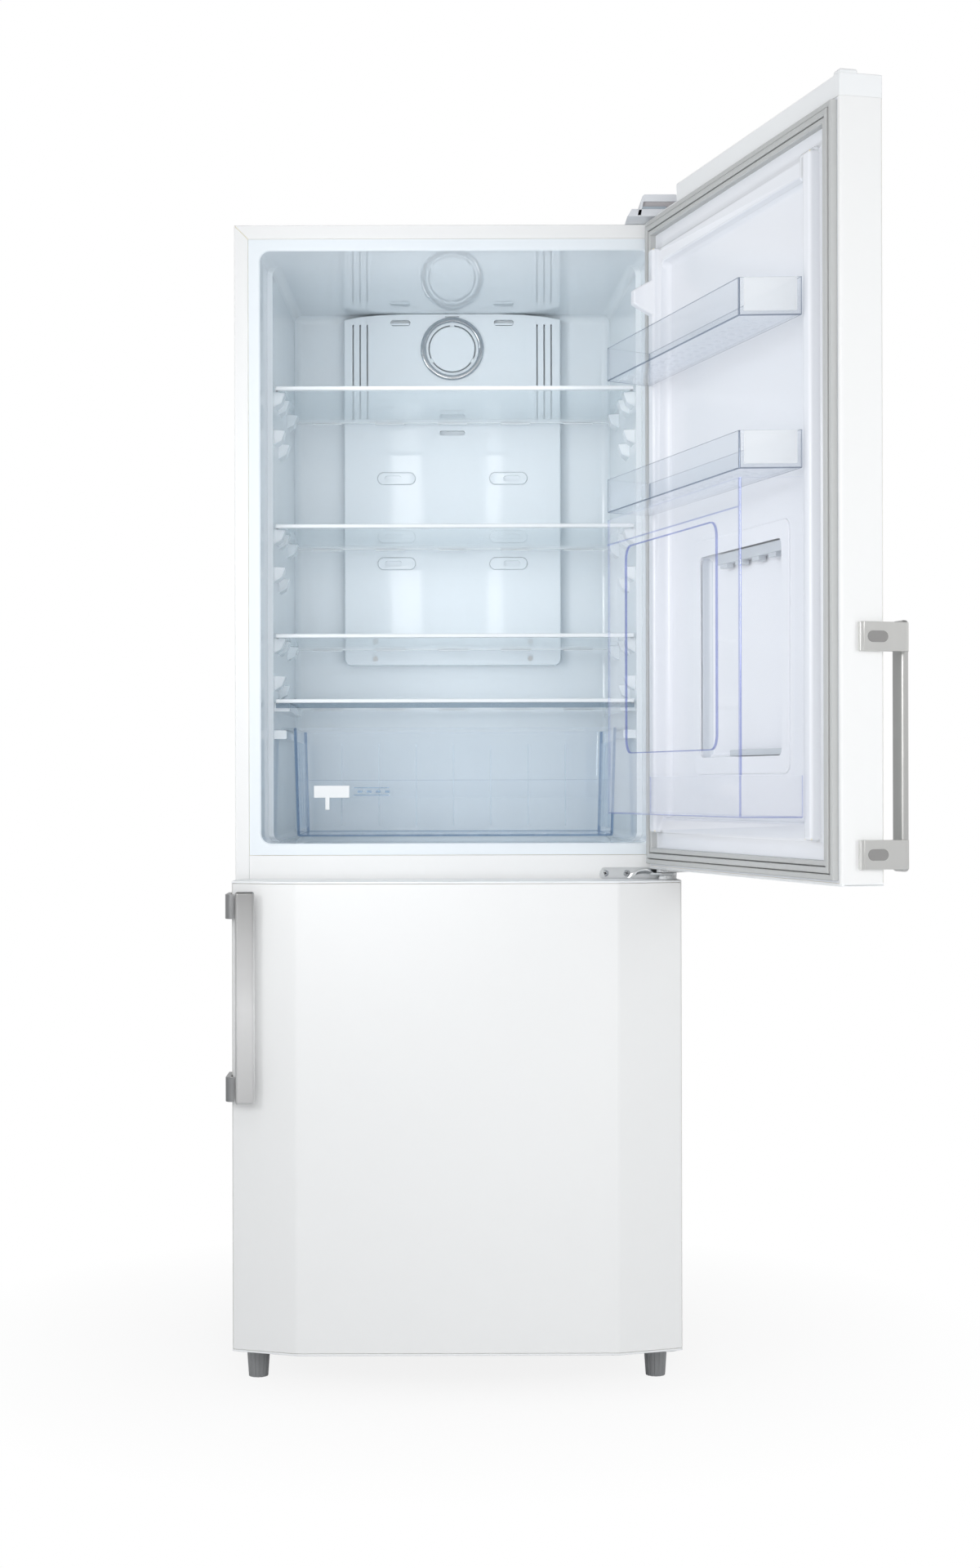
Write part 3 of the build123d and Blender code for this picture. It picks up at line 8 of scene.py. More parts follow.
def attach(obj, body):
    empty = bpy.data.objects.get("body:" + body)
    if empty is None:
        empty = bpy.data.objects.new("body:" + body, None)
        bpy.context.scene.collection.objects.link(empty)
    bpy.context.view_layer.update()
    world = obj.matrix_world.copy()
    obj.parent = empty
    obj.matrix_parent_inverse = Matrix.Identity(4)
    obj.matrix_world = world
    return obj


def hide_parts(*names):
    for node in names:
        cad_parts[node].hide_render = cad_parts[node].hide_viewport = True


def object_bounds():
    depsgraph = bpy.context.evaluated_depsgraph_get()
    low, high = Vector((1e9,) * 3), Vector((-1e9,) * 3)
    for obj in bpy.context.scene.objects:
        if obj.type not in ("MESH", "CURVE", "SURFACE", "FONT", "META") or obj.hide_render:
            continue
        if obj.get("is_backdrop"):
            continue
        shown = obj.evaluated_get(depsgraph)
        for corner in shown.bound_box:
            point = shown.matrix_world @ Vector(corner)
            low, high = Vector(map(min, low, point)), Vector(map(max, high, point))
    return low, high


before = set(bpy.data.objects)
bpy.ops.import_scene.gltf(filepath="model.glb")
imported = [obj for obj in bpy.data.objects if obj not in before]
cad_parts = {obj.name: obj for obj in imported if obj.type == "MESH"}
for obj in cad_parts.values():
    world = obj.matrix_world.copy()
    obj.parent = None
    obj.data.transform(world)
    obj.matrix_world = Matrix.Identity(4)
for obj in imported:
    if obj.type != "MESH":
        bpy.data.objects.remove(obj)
cad_low, cad_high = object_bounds()

# A bottom freezer refrigerator with its upper door open. X is to the viewer's right, Y to the
# back and Z up; the cabinet's front plane lies at y = -295 mm. The sections write lengths in
# millimetres, and a finished piece is scaled to metres.

# ---------------------------------------------------------------- the studio
# The viewer stands four metres in front of the freezer door, level with the crisper. A wide soft
# box lights the front, smaller ones stand at both sides, and two narrow windows behind the viewer
# shine in glossy surfaces. Soft light in the open mouth and on the door's inside fills them.

viewer = bpy.data.cameras.new("viewer")
viewer.lens = 53.15
viewer.sensor_width = 36.0
viewer.shift_x = 0.0365
viewer_stand = bpy.data.objects.new("viewer", viewer)
viewer_stand.location = (-0.0367, -3.9686, 0.8868)
viewer_stand.rotation_euler = (math.pi / 2, 0.0023, 0)
bpy.context.scene.collection.objects.link(viewer_stand)
bpy.context.scene.camera = viewer_stand
bpy.context.scene.view_settings.view_transform = "Standard"
bpy.context.scene.cycles.transparent_max_bounces = 24

white, cool, low_cool, door_cool = (1.0, 1.0, 1.0), (0.98, 0.99, 1.0), (0.97, 0.985, 1.0), (0.98, 0.985, 1.0)
room_tone, room_strength = (0.95, 0.97, 1.0), 0.5
floor_half, floor_tone = 14.0, 0.8


def soft_box(name, place, target, size, watts, mirrored=False, colour=white, spread=180.0):
    """A rectangular soft lamp that faces a point, and shows in glossy surfaces or not."""
    lamp = bpy.data.lights.new(name, "AREA")
    lamp.shape = "RECTANGLE"
    lamp.size, lamp.size_y = size
    lamp.energy = watts
    lamp.color = colour
    lamp.spread = math.radians(spread)
    stand = bpy.data.objects.new(name, lamp)
    stand.location = place
    stand.rotation_euler = (Vector(place) - Vector(target)).to_track_quat("Z", "Y").to_euler()
    stand.visible_camera = False
    stand.visible_transmission = False
    stand.visible_glossy = mirrored
    bpy.context.scene.collection.objects.link(stand)


def node(tree, kind, inputs, **settings):
    """A shader node with its settings; an input takes a value or what another node gives out."""
    made = tree.nodes.new("ShaderNode" + kind)
    for key, value in settings.items():
        setattr(made, key, value)
    for key, value in inputs.items():
        if isinstance(value, bpy.types.Node):
            value = value.outputs[0]
        if isinstance(value, bpy.types.NodeSocket):
            tree.links.new(value, made.inputs[key])
        else:
            made.inputs[key].default_value = value
    return made


def seen_directly(tree):
    """One for a ray from the camera, also through something clear, and nought for the others."""
    path = node(tree, "LightPath", {}).outputs
    rays = {0: path["Is Camera Ray"], 1: path["Is Transmission Ray"]}
    return node(tree, "Math", rays, operation="ADD", use_clamp=True)


def in_scene(bm, name):
    """A new object in the scene with these faces."""
    mesh = bpy.data.meshes.new(name)
    bm.to_mesh(mesh)
    bm.free()
    made = bpy.data.objects.new(name, mesh)
    bpy.context.scene.collection.objects.link(made)
    return made


def new_finish(name):
    """A new material and its node tree."""
    finish = bpy.data.materials.new(name)
    finish.use_nodes = True
    return finish, finish.node_tree


soft_box("front_lamp", (0.1, -3.6, 1.1), (0.0, -0.2, 1.1), (2.1, 1.4), 24.8)
soft_box("key_lamp", (-1.5, -2.9, 1.5), (-0.2, -0.4, 0.7), (0.7, 0.7), 14.0, True)
soft_box("right_lamp", (2.4, -2.8, 1.3), (0.2, -0.6, 0.9), (1.2, 2.0), 20.0)
soft_box("left_window", (-0.136, -4.7, 1.92), (-0.136, 0.0, 1.92), (0.115, 0.92), 1.2, True)
soft_box("right_window", (0.206, -4.7, 1.92), (0.206, 0.0, 1.92), (0.057, 0.92), 0.5, True)
soft_box("inside_lamp", (0.0, -0.165, 1.29), (0.0, 0.2, 1.42), (0.36, 0.82), 0.34, False, cool, 150.0)
soft_box(
    "low_inside_lamp", (0.0, -0.165, 0.98), (0.0, 0.2, 0.98), (0.4, 0.26), 0.17, False, low_cool, 150.0)
soft_box("door_lamp", (-0.35, -0.88, 1.27), (0.42, -0.67, 1.27), (0.5, 0.9), 3.0, False, door_cool)

room = bpy.data.worlds.new("room")
bpy.context.scene.world = room
room.use_nodes = True
room_tree = room.node_tree
room_tree.nodes.clear()
room_way = node(room_tree, "TexCoord", {}).outputs["Generated"]
room_height = node(room_tree, "SeparateXYZ", {0: room_way}).outputs["Z"]
room_fall = node(room_tree, "MapRange", {
    "Value": room_height, "From Min": 0.25, "From Max": 0.7, "To Min": 1.0, "To Max": 0.35})
room_light = node(room_tree, "Background", {"Color": room_tone + (1.0,), "Strength": room_strength})
room_gloss = node(room_tree, "MixShader", {
    0: node(room_tree, "LightPath", {}).outputs["Is Glossy Ray"],
    1: room_light,
    2: node(room_tree, "Background", {"Strength": room_fall}),
})
room_white = node(room_tree, "Background", {"Color": white + (1.0,)})
room_mix = node(room_tree, "MixShader", {0: seen_directly(room_tree), 1: room_gloss, 2: room_white})
node(room_tree, "OutputWorld", {"Surface": room_mix})

floor_bm = bmesh.new()
bmesh.ops.create_grid(floor_bm, x_segments=1, y_segments=1, size=floor_half)
bmesh.ops.translate(floor_bm, verts=floor_bm.verts, vec=(0, 0, cad_low.z))
floor = in_scene(floor_bm, "floor")
floor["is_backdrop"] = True
floor_paint, floor_tree = new_finish("studio_floor")
floor_body = floor_tree.nodes["Principled BSDF"]
floor_body.inputs["Base Color"].default_value = (floor_tone, floor_tone, floor_tone, 1.0)
floor_body.inputs["Roughness"].default_value = 0.8
floor_place = node(floor_tree, "TexCoord", {}).outputs["Object"]
floor_away = node(floor_tree, "VectorMath", {0: floor_place}, operation="LENGTH").outputs["Value"]
floor_fade = node(floor_tree, "MapRange", {
    "Value": floor_away, "From Min": 0.3, "From Max": 0.95, "To Min": 0.86, "To Max": 1.0})
floor_share = node(floor_tree, "Math", {0: seen_directly(floor_tree), 1: floor_fade}, operation="MULTIPLY")
floor_glow = node(floor_tree, "Emission", {})
floor_mix = node(floor_tree, "MixShader", {0: floor_share, 1: floor_body, 2: floor_glow})
floor_tree.links.new(floor_mix.outputs[0], floor_tree.nodes["Material Output"].inputs["Surface"])
floor.data.materials.append(floor_paint)

# ---------------------------------------------------------------- the cabinet's outside
# One painted sheet is bent over both sides and the top, with a rim round the front that is
# mitred at the two upper corners. The back and the bar between the doors are in the same paint.

MM = 0.001
cab_half, cab_front, cab_back, cab_top = 350.0, -295.0, 295.0, 1774.0
rim_w, rim_d, mitre_gap = 22.0, 8.0, 0.5
back_lip = 18.0


def noise(tree, place, scale, detail=2.0):
    """Soft random cloud over a piece, from its own coordinates."""
    return node(tree, "TexNoise", {"Vector": place, "Scale": scale, "Detail": detail}).outputs["Fac"]


def moulded(name, colour, rough, grain, bump, mottle=0.02, metal=0.0, coat=0.0, waves=0.0, stretch=None):
    """A painted, moulded or metal finish: slight clouds in colour and gloss, and a fine grain."""
    finish, tree = new_finish(name)
    body = tree.nodes["Principled BSDF"].inputs
    body["Metallic"].default_value = metal
    body["Coat Weight"].default_value = coat
    body["Coat Roughness"].default_value = 0.08
    where = node(tree, "TexCoord", {}).outputs["Object"]
    along = node(tree, "Mapping", {"Vector": where, "Scale": stretch}) if stretch else where
    tone = node(tree, "Mix", {
        0: noise(tree, where, 3.1),
        6: tuple(c * (1 - mottle) for c in colour) + (1.0,),
        7: tuple(min(1.0, c * (1 + mottle)) for c in colour) + (1.0,),
    }, data_type="RGBA")
    gloss = node(tree, "MapRange", {
        "Value": noise(tree, along, grain * 0.13), "To Min": rough * 0.85, "To Max": rough * 1.2})
    grains = noise(tree, along, grain, 3.0)
    relief = node(tree, "Bump", {"Strength": bump, "Distance": 0.0004, "Height": grains})
    if waves:
        swells = noise(tree, where, 7.0, 1.0)
        swell = node(tree, "Bump", {"Strength": waves, "Distance": 0.004, "Height": swells})
        tree.links.new(swell.outputs[0], relief.inputs["Normal"])
    tree.links.new(tone.outputs[2], body["Base Color"])
    tree.links.new(gloss.outputs[0], body["Roughness"])
    tree.links.new(relief.outputs[0], body["Normal"])
    return finish


def block(bm, xs, ys, zs):
    """A box between two x in any order, two y and two z; gives back its corners."""
    corners = bmesh.ops.create_cube(bm, size=1.0)["verts"]
    bmesh.ops.scale(bm, vec=(abs(xs[1] - xs[0]), ys[1] - ys[0], zs[1] - zs[0]), verts=corners)
    bmesh.ops.translate(bm, vec=(sum(xs) / 2, sum(ys) / 2, sum(zs) / 2), verts=corners)
    return corners


def about(middle, half):
    """The two values at a distance from a middle."""
    return middle - half, middle + half


def around(verts):
    """The edges that join these corners, in the same order at each run."""
    chosen = set(verts)
    return list(dict.fromkeys(e for v in verts for e in v.link_edges if e.other_vert(v) in chosen))


def where_ends(edges, test, how=all):
    """Those edges whose two ends, or with any at least one end, pass a test on their place."""
    return [e for e in edges if how(test(v.co) for v in e.verts)]


def that_run(edges, axis, least):
    """Those edges that run further than a length along an axis: 0, 1 or 2 for x, y or z."""
    return [e for e in edges if abs(e.verts[0].co[axis] - e.verts[1].co[axis]) > least]


def rounded(bm, edges, radius, segments=3):
    """Round these edges over; gives back the new faces."""
    return bmesh.ops.bevel(
        bm, geom=edges, offset=radius, offset_type="OFFSET", affect="EDGES",
        segments=segments, profile=0.5, material=-1, clamp_overlap=True,
    )["faces"]


def soft_block(bm, xs, ys, zs, radius, segments=2, test=None, how=all):
    """A box with its edges rounded, or only those whose ends pass a test."""
    edges = around(block(bm, xs, ys, zs))
    rounded(bm, where_ends(edges, test, how) if test else edges, radius, segments)


def soften(bm, verts, test, radius, segments=3):
    """Round those edges of a part whose two ends pass a test on their place."""
    rounded(bm, where_ends(around(verts), test), radius, segments)


def new_verts(made):
    """The corners in what an extrusion made."""
    return [g for g in made["geom"] if isinstance(g, bmesh.types.BMVert)]


def plate(bm, outline, way):
    """A flat plate from an outline's corners, pushed along a vector to its thickness."""
    face = bm.faces.new([bm.verts.new(p) for p in outline])
    far = new_verts(bmesh.ops.extrude_face_region(bm, geom=[face]))
    bmesh.ops.translate(bm, vec=way, verts=far)
    return list(face.verts) + far


def keep_flat(piece):
    """Let a piece's broad faces shine as flat ones beside their rounded edges."""
    flat = piece.modifiers.new("flat_faces", "WEIGHTED_NORMAL")
    flat.keep_sharp = True


def settle(bm, name, finishes, body, stands_for, move=None, crease=32.0):
    """Turn a door's piece to where its door stands, scale it to metres and put it on its body."""
    bmesh.ops.recalc_face_normals(bm, faces=bm.faces)
    if move:
        bmesh.ops.transform(bm, matrix=move, verts=bm.verts)
    bmesh.ops.scale(bm, vec=(MM, MM, MM), verts=bm.verts)
    for face in bm.faces:
        face.smooth = True
    for edge in bm.edges:
        edge.smooth = edge.calc_face_angle(0.0) < math.radians(crease)
    piece = in_scene(bm, name)
    for finish in finishes:
        piece.data.materials.append(finish)
    keep_flat(piece)
    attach(piece, body)
    if stands_for:
        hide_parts(*stands_for)
    return piece


def dress(name, finish, width=0.0):
    """A solid that keeps its drawn shape gets its finish and, with a width, broken edges."""
    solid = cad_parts[name]
    solid.data.materials.clear()
    solid.data.materials.append(finish)
    if width:
        weld = solid.modifiers.new("weld", "WELD")
        weld.merge_threshold = 0.00001
        broken = solid.modifiers.new("broken_edges", "BEVEL")
        broken.width = width * MM
        broken.segments = 2
        broken.limit_method = "ANGLE"
        broken.angle_limit = math.radians(40)
        keep_flat(solid)


white_paint = moulded("white_paint", (0.83, 0.835, 0.83), 0.36, 420.0, 0.08, 0.006)

wrapper = bmesh.new()
block(wrapper, about(0, cab_half), (cab_front + rim_d, cab_back), (0, cab_top))
wrapper.normal_update()
open_sides = [f for f in wrapper.faces if abs(f.normal.y) > 0.5 or f.normal.z < -0.5]
bmesh.ops.delete(wrapper, geom=open_sides, context="FACES")
rounded(wrapper, [e for e in wrapper.edges if not e.is_boundary], 3.0)
bmesh.ops.solidify(wrapper, geom=wrapper.faces[:], thickness=1.0)
rim_in = cab_half - rim_w
low_z, high_z = cab_top - rim_w - mitre_gap, cab_top - mitre_gap
rims = [((s * cab_half, 0), (s * rim_in, 0), (s * rim_in, low_z), (s * cab_half, high_z)) for s in (-1, 1)]
rims.append((
    (mitre_gap - cab_half, cab_top), (cab_half - mitre_gap, cab_top),
    (rim_in - mitre_gap, cab_top - rim_w), (mitre_gap - rim_in, cab_top - rim_w),
))
for rim in rims:
    strip = plate(wrapper, [(x, cab_front, z) for x, z in rim], (0, rim_d, 0))
    soften(wrapper, strip, lambda p: p.y < cab_front + 1, 1.2)
for xs, zs in (
    ((-cab_half, back_lip - cab_half), (0, cab_top - back_lip)),
    ((cab_half - back_lip, cab_half), (0, cab_top - back_lip)),
    (about(0, cab_half - 1), (cab_top - back_lip, cab_top - 1)),
):
    block(wrapper, xs, (cab_back - 1, cab_back), zs)
settle(wrapper, "cabinet_wrapper", [white_paint], "cabinet", ["cabinet_shell"])
dress("back_panel", white_paint)
dress("crossbar", white_paint, 0.8)

# ---------------------------------------------------------------- the fridge compartment's lining
# One white sheet drawn to shape in a mould, with a flat border round its mouth, a small step
# in front of the shelves, rounded corners, and lugs and ledges on its side walls.

border = 18.6
room_z = (793.0, 1733.0)
room_half, step_half, behind_half, back_half = 309.0, 305.0, 297.0, 284.0
step_at, behind_at, room_d = 105.0, 113.0, 520.0
lug_w, lug_tall, lug_out, lug_under, lug_slope = 60.0, 26.0, 16.0, 9.0, 11.0
lug_places = ((160.0, 0.0), (238.0, 0.0), (390.0, 0.0), (160.0, 62.0), (238.0, 74.0))
ledges = ((276.0, 975.4), (271.0, 1020.4))
ledge_y, ledge_tall = (127.0, 470.0), 14.0
shelf_tops = (1536.5, 1311.0, 1131.5)
shelf_under = 4.4


def push(bm, face, way, narrow=None, hollow=True):
    """Draw a face out along a vector, with new walls behind it, and scale it about its middle."""
    made = bmesh.ops.extrude_face_region(bm, geom=[face])
    far = new_verts(made)
    if hollow and face.is_valid:
        bmesh.ops.delete(bm, geom=[face], context="FACES_ONLY")
    bmesh.ops.translate(bm, vec=way, verts=far)
    moved = [g for g in made["geom"] if isinstance(g, bmesh.types.BMFace)][0]
    if narrow:
        middle = Matrix.Translation(-moved.calc_center_median())
        bmesh.ops.scale(bm, vec=narrow, verts=far, space=middle)
    return moved


def folds(bm, least):
    """The edges of a sheet that bend by more than an angle."""
    return [e for e in bm.edges if e.calc_face_angle(0.0) > least]


def wall_at(depth):
    """Half the compartment's width at a depth behind its step."""
    return behind_half + (back_half - behind_half) * (depth - behind_at) / (room_d - behind_at)


# Painted light: the liner's cool blue tint is the cold cast of the light in the compartment, given to a
# white sheet.
liner_white = moulded("liner_white", (0.8, 0.85, 0.885), 0.035, 260.0, 0.006, 0.012, waves=0.04)

lining = bmesh.new()
border_half = room_half + border
mouth = lining.faces.new([
    lining.verts.new((x, cab_front + 0.2, z))
    for x, z in (
        (-border_half, room_z[0] - border), (border_half, room_z[0] - border),
        (border_half, room_z[1] + border), (-border_half, room_z[1] + border),
    )
])
mouth.normal_update()
bmesh.ops.inset_region(lining, faces=[mouth], thickness=border, use_boundary=True, use_even_offset=True)
hole = push(lining, mouth, (0, step_at, 0), (step_half / room_half, 1, 1))
hole = push(lining, hole, (0, behind_at - step_at, 0), (behind_half / step_half, 1, 1))
hole = push(lining, hole, (0, room_d - behind_at, 0), (back_half / behind_half, 1, 1))
rounded(lining, that_run(lining.edges, 1, 5) + list(hole.edges), 15.0, 5)
rounded(lining, where_ends(folds(lining, 1.2), lambda p: p.y < cab_front + 1), 3.5)
bmesh.ops.solidify(lining, geom=lining.faces[:], thickness=1.3)
for shelf_top in shelf_tops:
    for depth, drop in lug_places:
        lug_top = shelf_top - shelf_under - drop
        for side in (-1, 1):
            at_wall = wall_at(depth + lug_w / 2)
            middle = cab_front + depth
            xs, ys = (side * (at_wall - lug_out), side * (at_wall + 4)), about(middle, lug_w / 2)
            corners = block(lining, xs, ys, (lug_top - lug_tall, lug_top))
            for v in corners:
                if abs(v.co.x) < at_wall - 5:
                    if v.co.z < lug_top - 1:
                        v.co.z += lug_under
                        v.co.x += side * 6.0
                    v.co.y += lug_slope if v.co.y < middle else -lug_slope
            rounded(lining, around(corners), 2.2, 2)
for half, ledge_top in ledges:
    for side in (-1, 1):
        soft_block(
            lining, (side * half, side * behind_half), (cab_front + ledge_y[0], cab_front + ledge_y[1]),
            (ledge_top - ledge_tall, ledge_top), 2.0, 2, lambda p: abs(p.x) < 280)
settle(lining, "fridge_lining", [liner_white], "cabinet", ["fridge_liner"])
dress("freezer_liner", liner_white)

# ---------------------------------------------------------------- the cold air duct
# A raised white cover on the compartment's back wall with a gently arched top. Long slots and
# small outlets let the air out, and a domed cap in a bright ring hides the main outlet.

duct_half, duct_low, duct_front, duct_d = 194.5, 1100.0, 195.0, 31.0
arch = ((duct_half, 1722.0), (165.0, 1727.5), (128.0, 1731.0), (84.0, 1732.6))
slot_xs, slot_z, slot_w, slot_tall = (152.6, 165.4, 178.0), 1628.0, 2.8, 170.5
top_jet_xs, top_jet_z = (-93.0, 93.0), 1716.0
jet_places = [(x, z) for z in (1436.0, 1283.0) for x in (-100.5, 100.5)]
ring_at, ring_in, ring_out, cap_r, gap_r = (0.0, 1669.0), 47.2, 56.7, 40.4, 42.8
cutter_y = duct_front - 8


def pill(bm, centre, wide, tall, y0, y1, radius=0.0):
    """A flat bar with round ends that faces the viewer, from one y to another."""
    r = min(wide, tall) / 2
    ends = []
    for k in range(16):
        a = 2 * math.pi * (k + 0.5) / 16
        x = math.copysign(wide / 2 - r, math.cos(a)) + r * math.cos(a)
        z = math.copysign(tall / 2 - r, math.sin(a)) + r * math.sin(a)
        ends.append((centre[0] + x, y0, centre[1] + z))
    made = plate(bm, ends, (0, y1 - y0, 0))
    if radius:
        rounded(bm, where_ends(around(made), lambda p: abs(p.y - y0) < 0.1), radius, 2)


def faces_at(verts):
    """The faces that meet at these corners."""
    return list(dict.fromkeys(f for v in verts for f in v.link_faces))


def disc(bm, centre, r0, r1, y0, y1, segments=48):
    """A flat ring, or with no inner radius a disc, that faces the viewer."""
    place = Matrix.Translation((centre[0], y0, centre[1])) @ Matrix.Rotation(math.pi / 2, 4, "X")
    outer = bmesh.ops.create_circle(bm, cap_ends=r0 == 0, radius=r1, segments=segments)["verts"]
    bmesh.ops.transform(bm, matrix=place, verts=outer)
    if r0:
        inner = bmesh.ops.create_circle(bm, cap_ends=False, radius=r0, segments=segments)["verts"]
        bmesh.ops.transform(bm, matrix=place, verts=inner)
        faces = bmesh.ops.bridge_loops(bm, edges=around(outer) + around(inner))["faces"]
    else:
        faces = faces_at(outer)
    far = new_verts(bmesh.ops.extrude_face_region(bm, geom=faces))
    bmesh.ops.translate(bm, vec=(0, y1 - y0, 0), verts=far)


def turned(bm, verts, angle, place):
    """Turn a part about the y axis and put it in its place."""
    bmesh.ops.rotate(bm, cent=(0, 0, 0), matrix=Matrix.Rotation(angle, 3, "Y"), verts=verts)
    bmesh.ops.translate(bm, vec=(place[0], 0, place[1]), verts=verts)


def cut(piece, cutter):
    """Take a cutter's shape out of a piece for good."""
    bmesh.ops.recalc_face_normals(cutter, faces=cutter.faces)
    bmesh.ops.scale(cutter, vec=(MM, MM, MM), verts=cutter.verts)
    tool = in_scene(cutter, "cutter")
    carve = piece.modifiers.new("carve", "BOOLEAN")
    carve.operation = "DIFFERENCE"
    carve.solver = "EXACT"
    carve.use_self = True
    carve.object = tool
    seen = piece.evaluated_get(bpy.context.evaluated_depsgraph_get())
    done = bpy.data.meshes.new_from_object(seen)
    piece.modifiers.clear()
    piece.data = done
    keep_flat(piece)
    bpy.data.objects.remove(tool)


duct = bmesh.new()
outline = [(-duct_half, duct_low), (duct_half, duct_low), *arch, *((-x, z) for x, z in reversed(arch))]
duct_body = plate(duct, [(x, duct_front, z) for x, z in outline], (0, duct_d, 0))
rounded(duct, that_run(where_ends(around(duct_body), lambda p: p.z < duct_low + 1), 1, 5), 12.0, 4)
rounded(duct, where_ends(duct.edges, lambda p: p.y < duct_front + 1), 2.5)
air_duct = settle(duct, "air_duct", [liner_white], "cabinet", ["air_duct_cover"])
openings = bmesh.new()
for x in slot_xs:
    for side in (-1, 1):
        pill(openings, (side * x, slot_z), slot_w, slot_tall, cutter_y, duct_front + 14)
for x in top_jet_xs:
    pill(openings, (x, top_jet_z), 36.0, 11.0, cutter_y, duct_front + 12)
pill(openings, (0.0, 1518.0), 46.0, 9.0, cutter_y, duct_front + 12)
for place in jet_places:
    pill(openings, place, 70.0, 24.0, cutter_y, duct_front + 1.5)
for drop in (0.0, 4.5, 9.0):
    block(openings, (-13.0, 13.0), (cutter_y, duct_front + 6), (1726.0 - drop, 1727.6 - drop))
disc(openings, ring_at, cap_r + 0.2, gap_r, cutter_y, duct_front + 12)
cut(air_duct, openings)

jets = bmesh.new()
for place in jet_places:
    pill(jets, place, 68.0, 22.0, duct_front - 3.0, duct_front + 6, 2.0)
for x in top_jet_xs:
    pill(jets, (x - 0.5, top_jet_z - 2.4), 33.0, 3.6, duct_front - 0.5, duct_front + 6, 0.4)
disc(jets, ring_at, 0, cap_r, duct_front - 2.0, duct_front + 6)
rounded(jets, where_ends(jets.edges, lambda p: abs(p.y - duct_front + 2) < 0.1), 1.9)
for turn in (0, 120, 240):
    tab = block(jets, (-4.0, 4.0), (duct_front - 0.2, duct_front + 6), (cap_r - 0.5, gap_r + 0.5))
    turned(jets, tab, math.radians(turn), ring_at)
air_jets = settle(jets, "air_jets", [liner_white], "cabinet", [])
holes = bmesh.new()
for x, z in jet_places:
    pill(holes, (x + math.copysign(6.0, x), z), 30.0, 10.0, cutter_y, duct_front + 3)
cut(air_jets, holes)

chrome = moulded("chrome", (0.55, 0.58, 0.61), 0.09, 200.0, 0.02, metal=1.0)
ring = bmesh.new()
disc(ring, ring_at, ring_in, ring_out, duct_front - 5.0, duct_front - 0.1, 64)
rounded(ring, where_ends(folds(ring, 1.0), lambda p: p.y < duct_front - 4), 3.0, 4)
settle(ring, "duct_trim_ring", [chrome], "cabinet", ["duct_ring"])

# ---------------------------------------------------------------- the shelves
# Three panes of toughened glass and the crisper's glass cover, each a drawn solid. A white strip
# is moulded along the front edge of each, and a thin rail with small teeth along its back edge.

strip_half, rail_half = 293.0, 277.0
strip_y, rail_y = (-185.0, -173.0), (164.0, 175.0)
tooth_pitch, tooth_half = 112.0, 26.0


def clear(name, hue, haze, film, rough, mirror=0.75):
    """A thin clear moulding: a tinted see-through film that mirrors at a slant and is a little hazy."""
    finish, tree = new_finish(name)
    shine = tree.nodes["Principled BSDF"]
    shine.inputs["Roughness"].default_value = rough
    shine.inputs["Metallic"].default_value = mirror
    where = node(tree, "TexCoord", {}).outputs["Object"]
    tone = node(tree, "Mix", {
        0: noise(tree, where, 9.0), 6: tuple(c * 0.96 for c in haze) + (1.0,), 7: haze + (1.0,),
    }, data_type="RGBA")
    relief = node(tree, "Bump", {"Strength": 0.05, "Distance": 0.0005, "Height": noise(tree, where, 60.0)})
    tree.links.new(tone.outputs[2], shine.inputs["Base Color"])
    tree.links.new(relief.outputs[0], shine.inputs["Normal"])
    slant = node(tree, "LayerWeight", {"Blend": 0.5}).outputs["Facing"]
    steep = node(tree, "Math", {0: slant, 1: 5.0}, operation="POWER")
    share = {0: steep, 1: 0.75, 2: film + 0.03}
    amount = node(tree, "Math", share, operation="MULTIPLY_ADD", use_clamp=True)
    through = node(tree, "BsdfTransparent", {"Color": hue + (1.0,)})
    mix = node(tree, "MixShader", {0: amount, 1: through, 2: shine})
    tree.links.new(mix.outputs[0], tree.nodes["Material Output"].inputs["Surface"])
    return finish


shelf_glass = clear("shelf_glass", (0.965, 0.98, 0.985), (0.88, 0.93, 0.95), 0.01, 0.03)
strip_white = moulded("strip_white", (0.83, 0.865, 0.89), 0.22, 700.0, 0.06, 0.01)
white_plastic = moulded("white_plastic", (0.84, 0.855, 0.86), 0.3, 700.0, 0.06, 0.01)
# The grey finish below is painted shade: small dark blocks at the ends of each front strip stand for the
# shade of a gap there.
grey_plastic = moulded("grey_plastic", (0.3, 0.32, 0.34), 0.4, 600.0, 0.1, 0.03)
# A dark see-through finish for a strip hung under the crisper cover's front edge: painted shade under the
# cover.
cover_shade_strip = clear("cover_shade_strip", (0.72, 0.77, 0.81), (0.5, 0.56, 0.62), 0.05, 0.1)

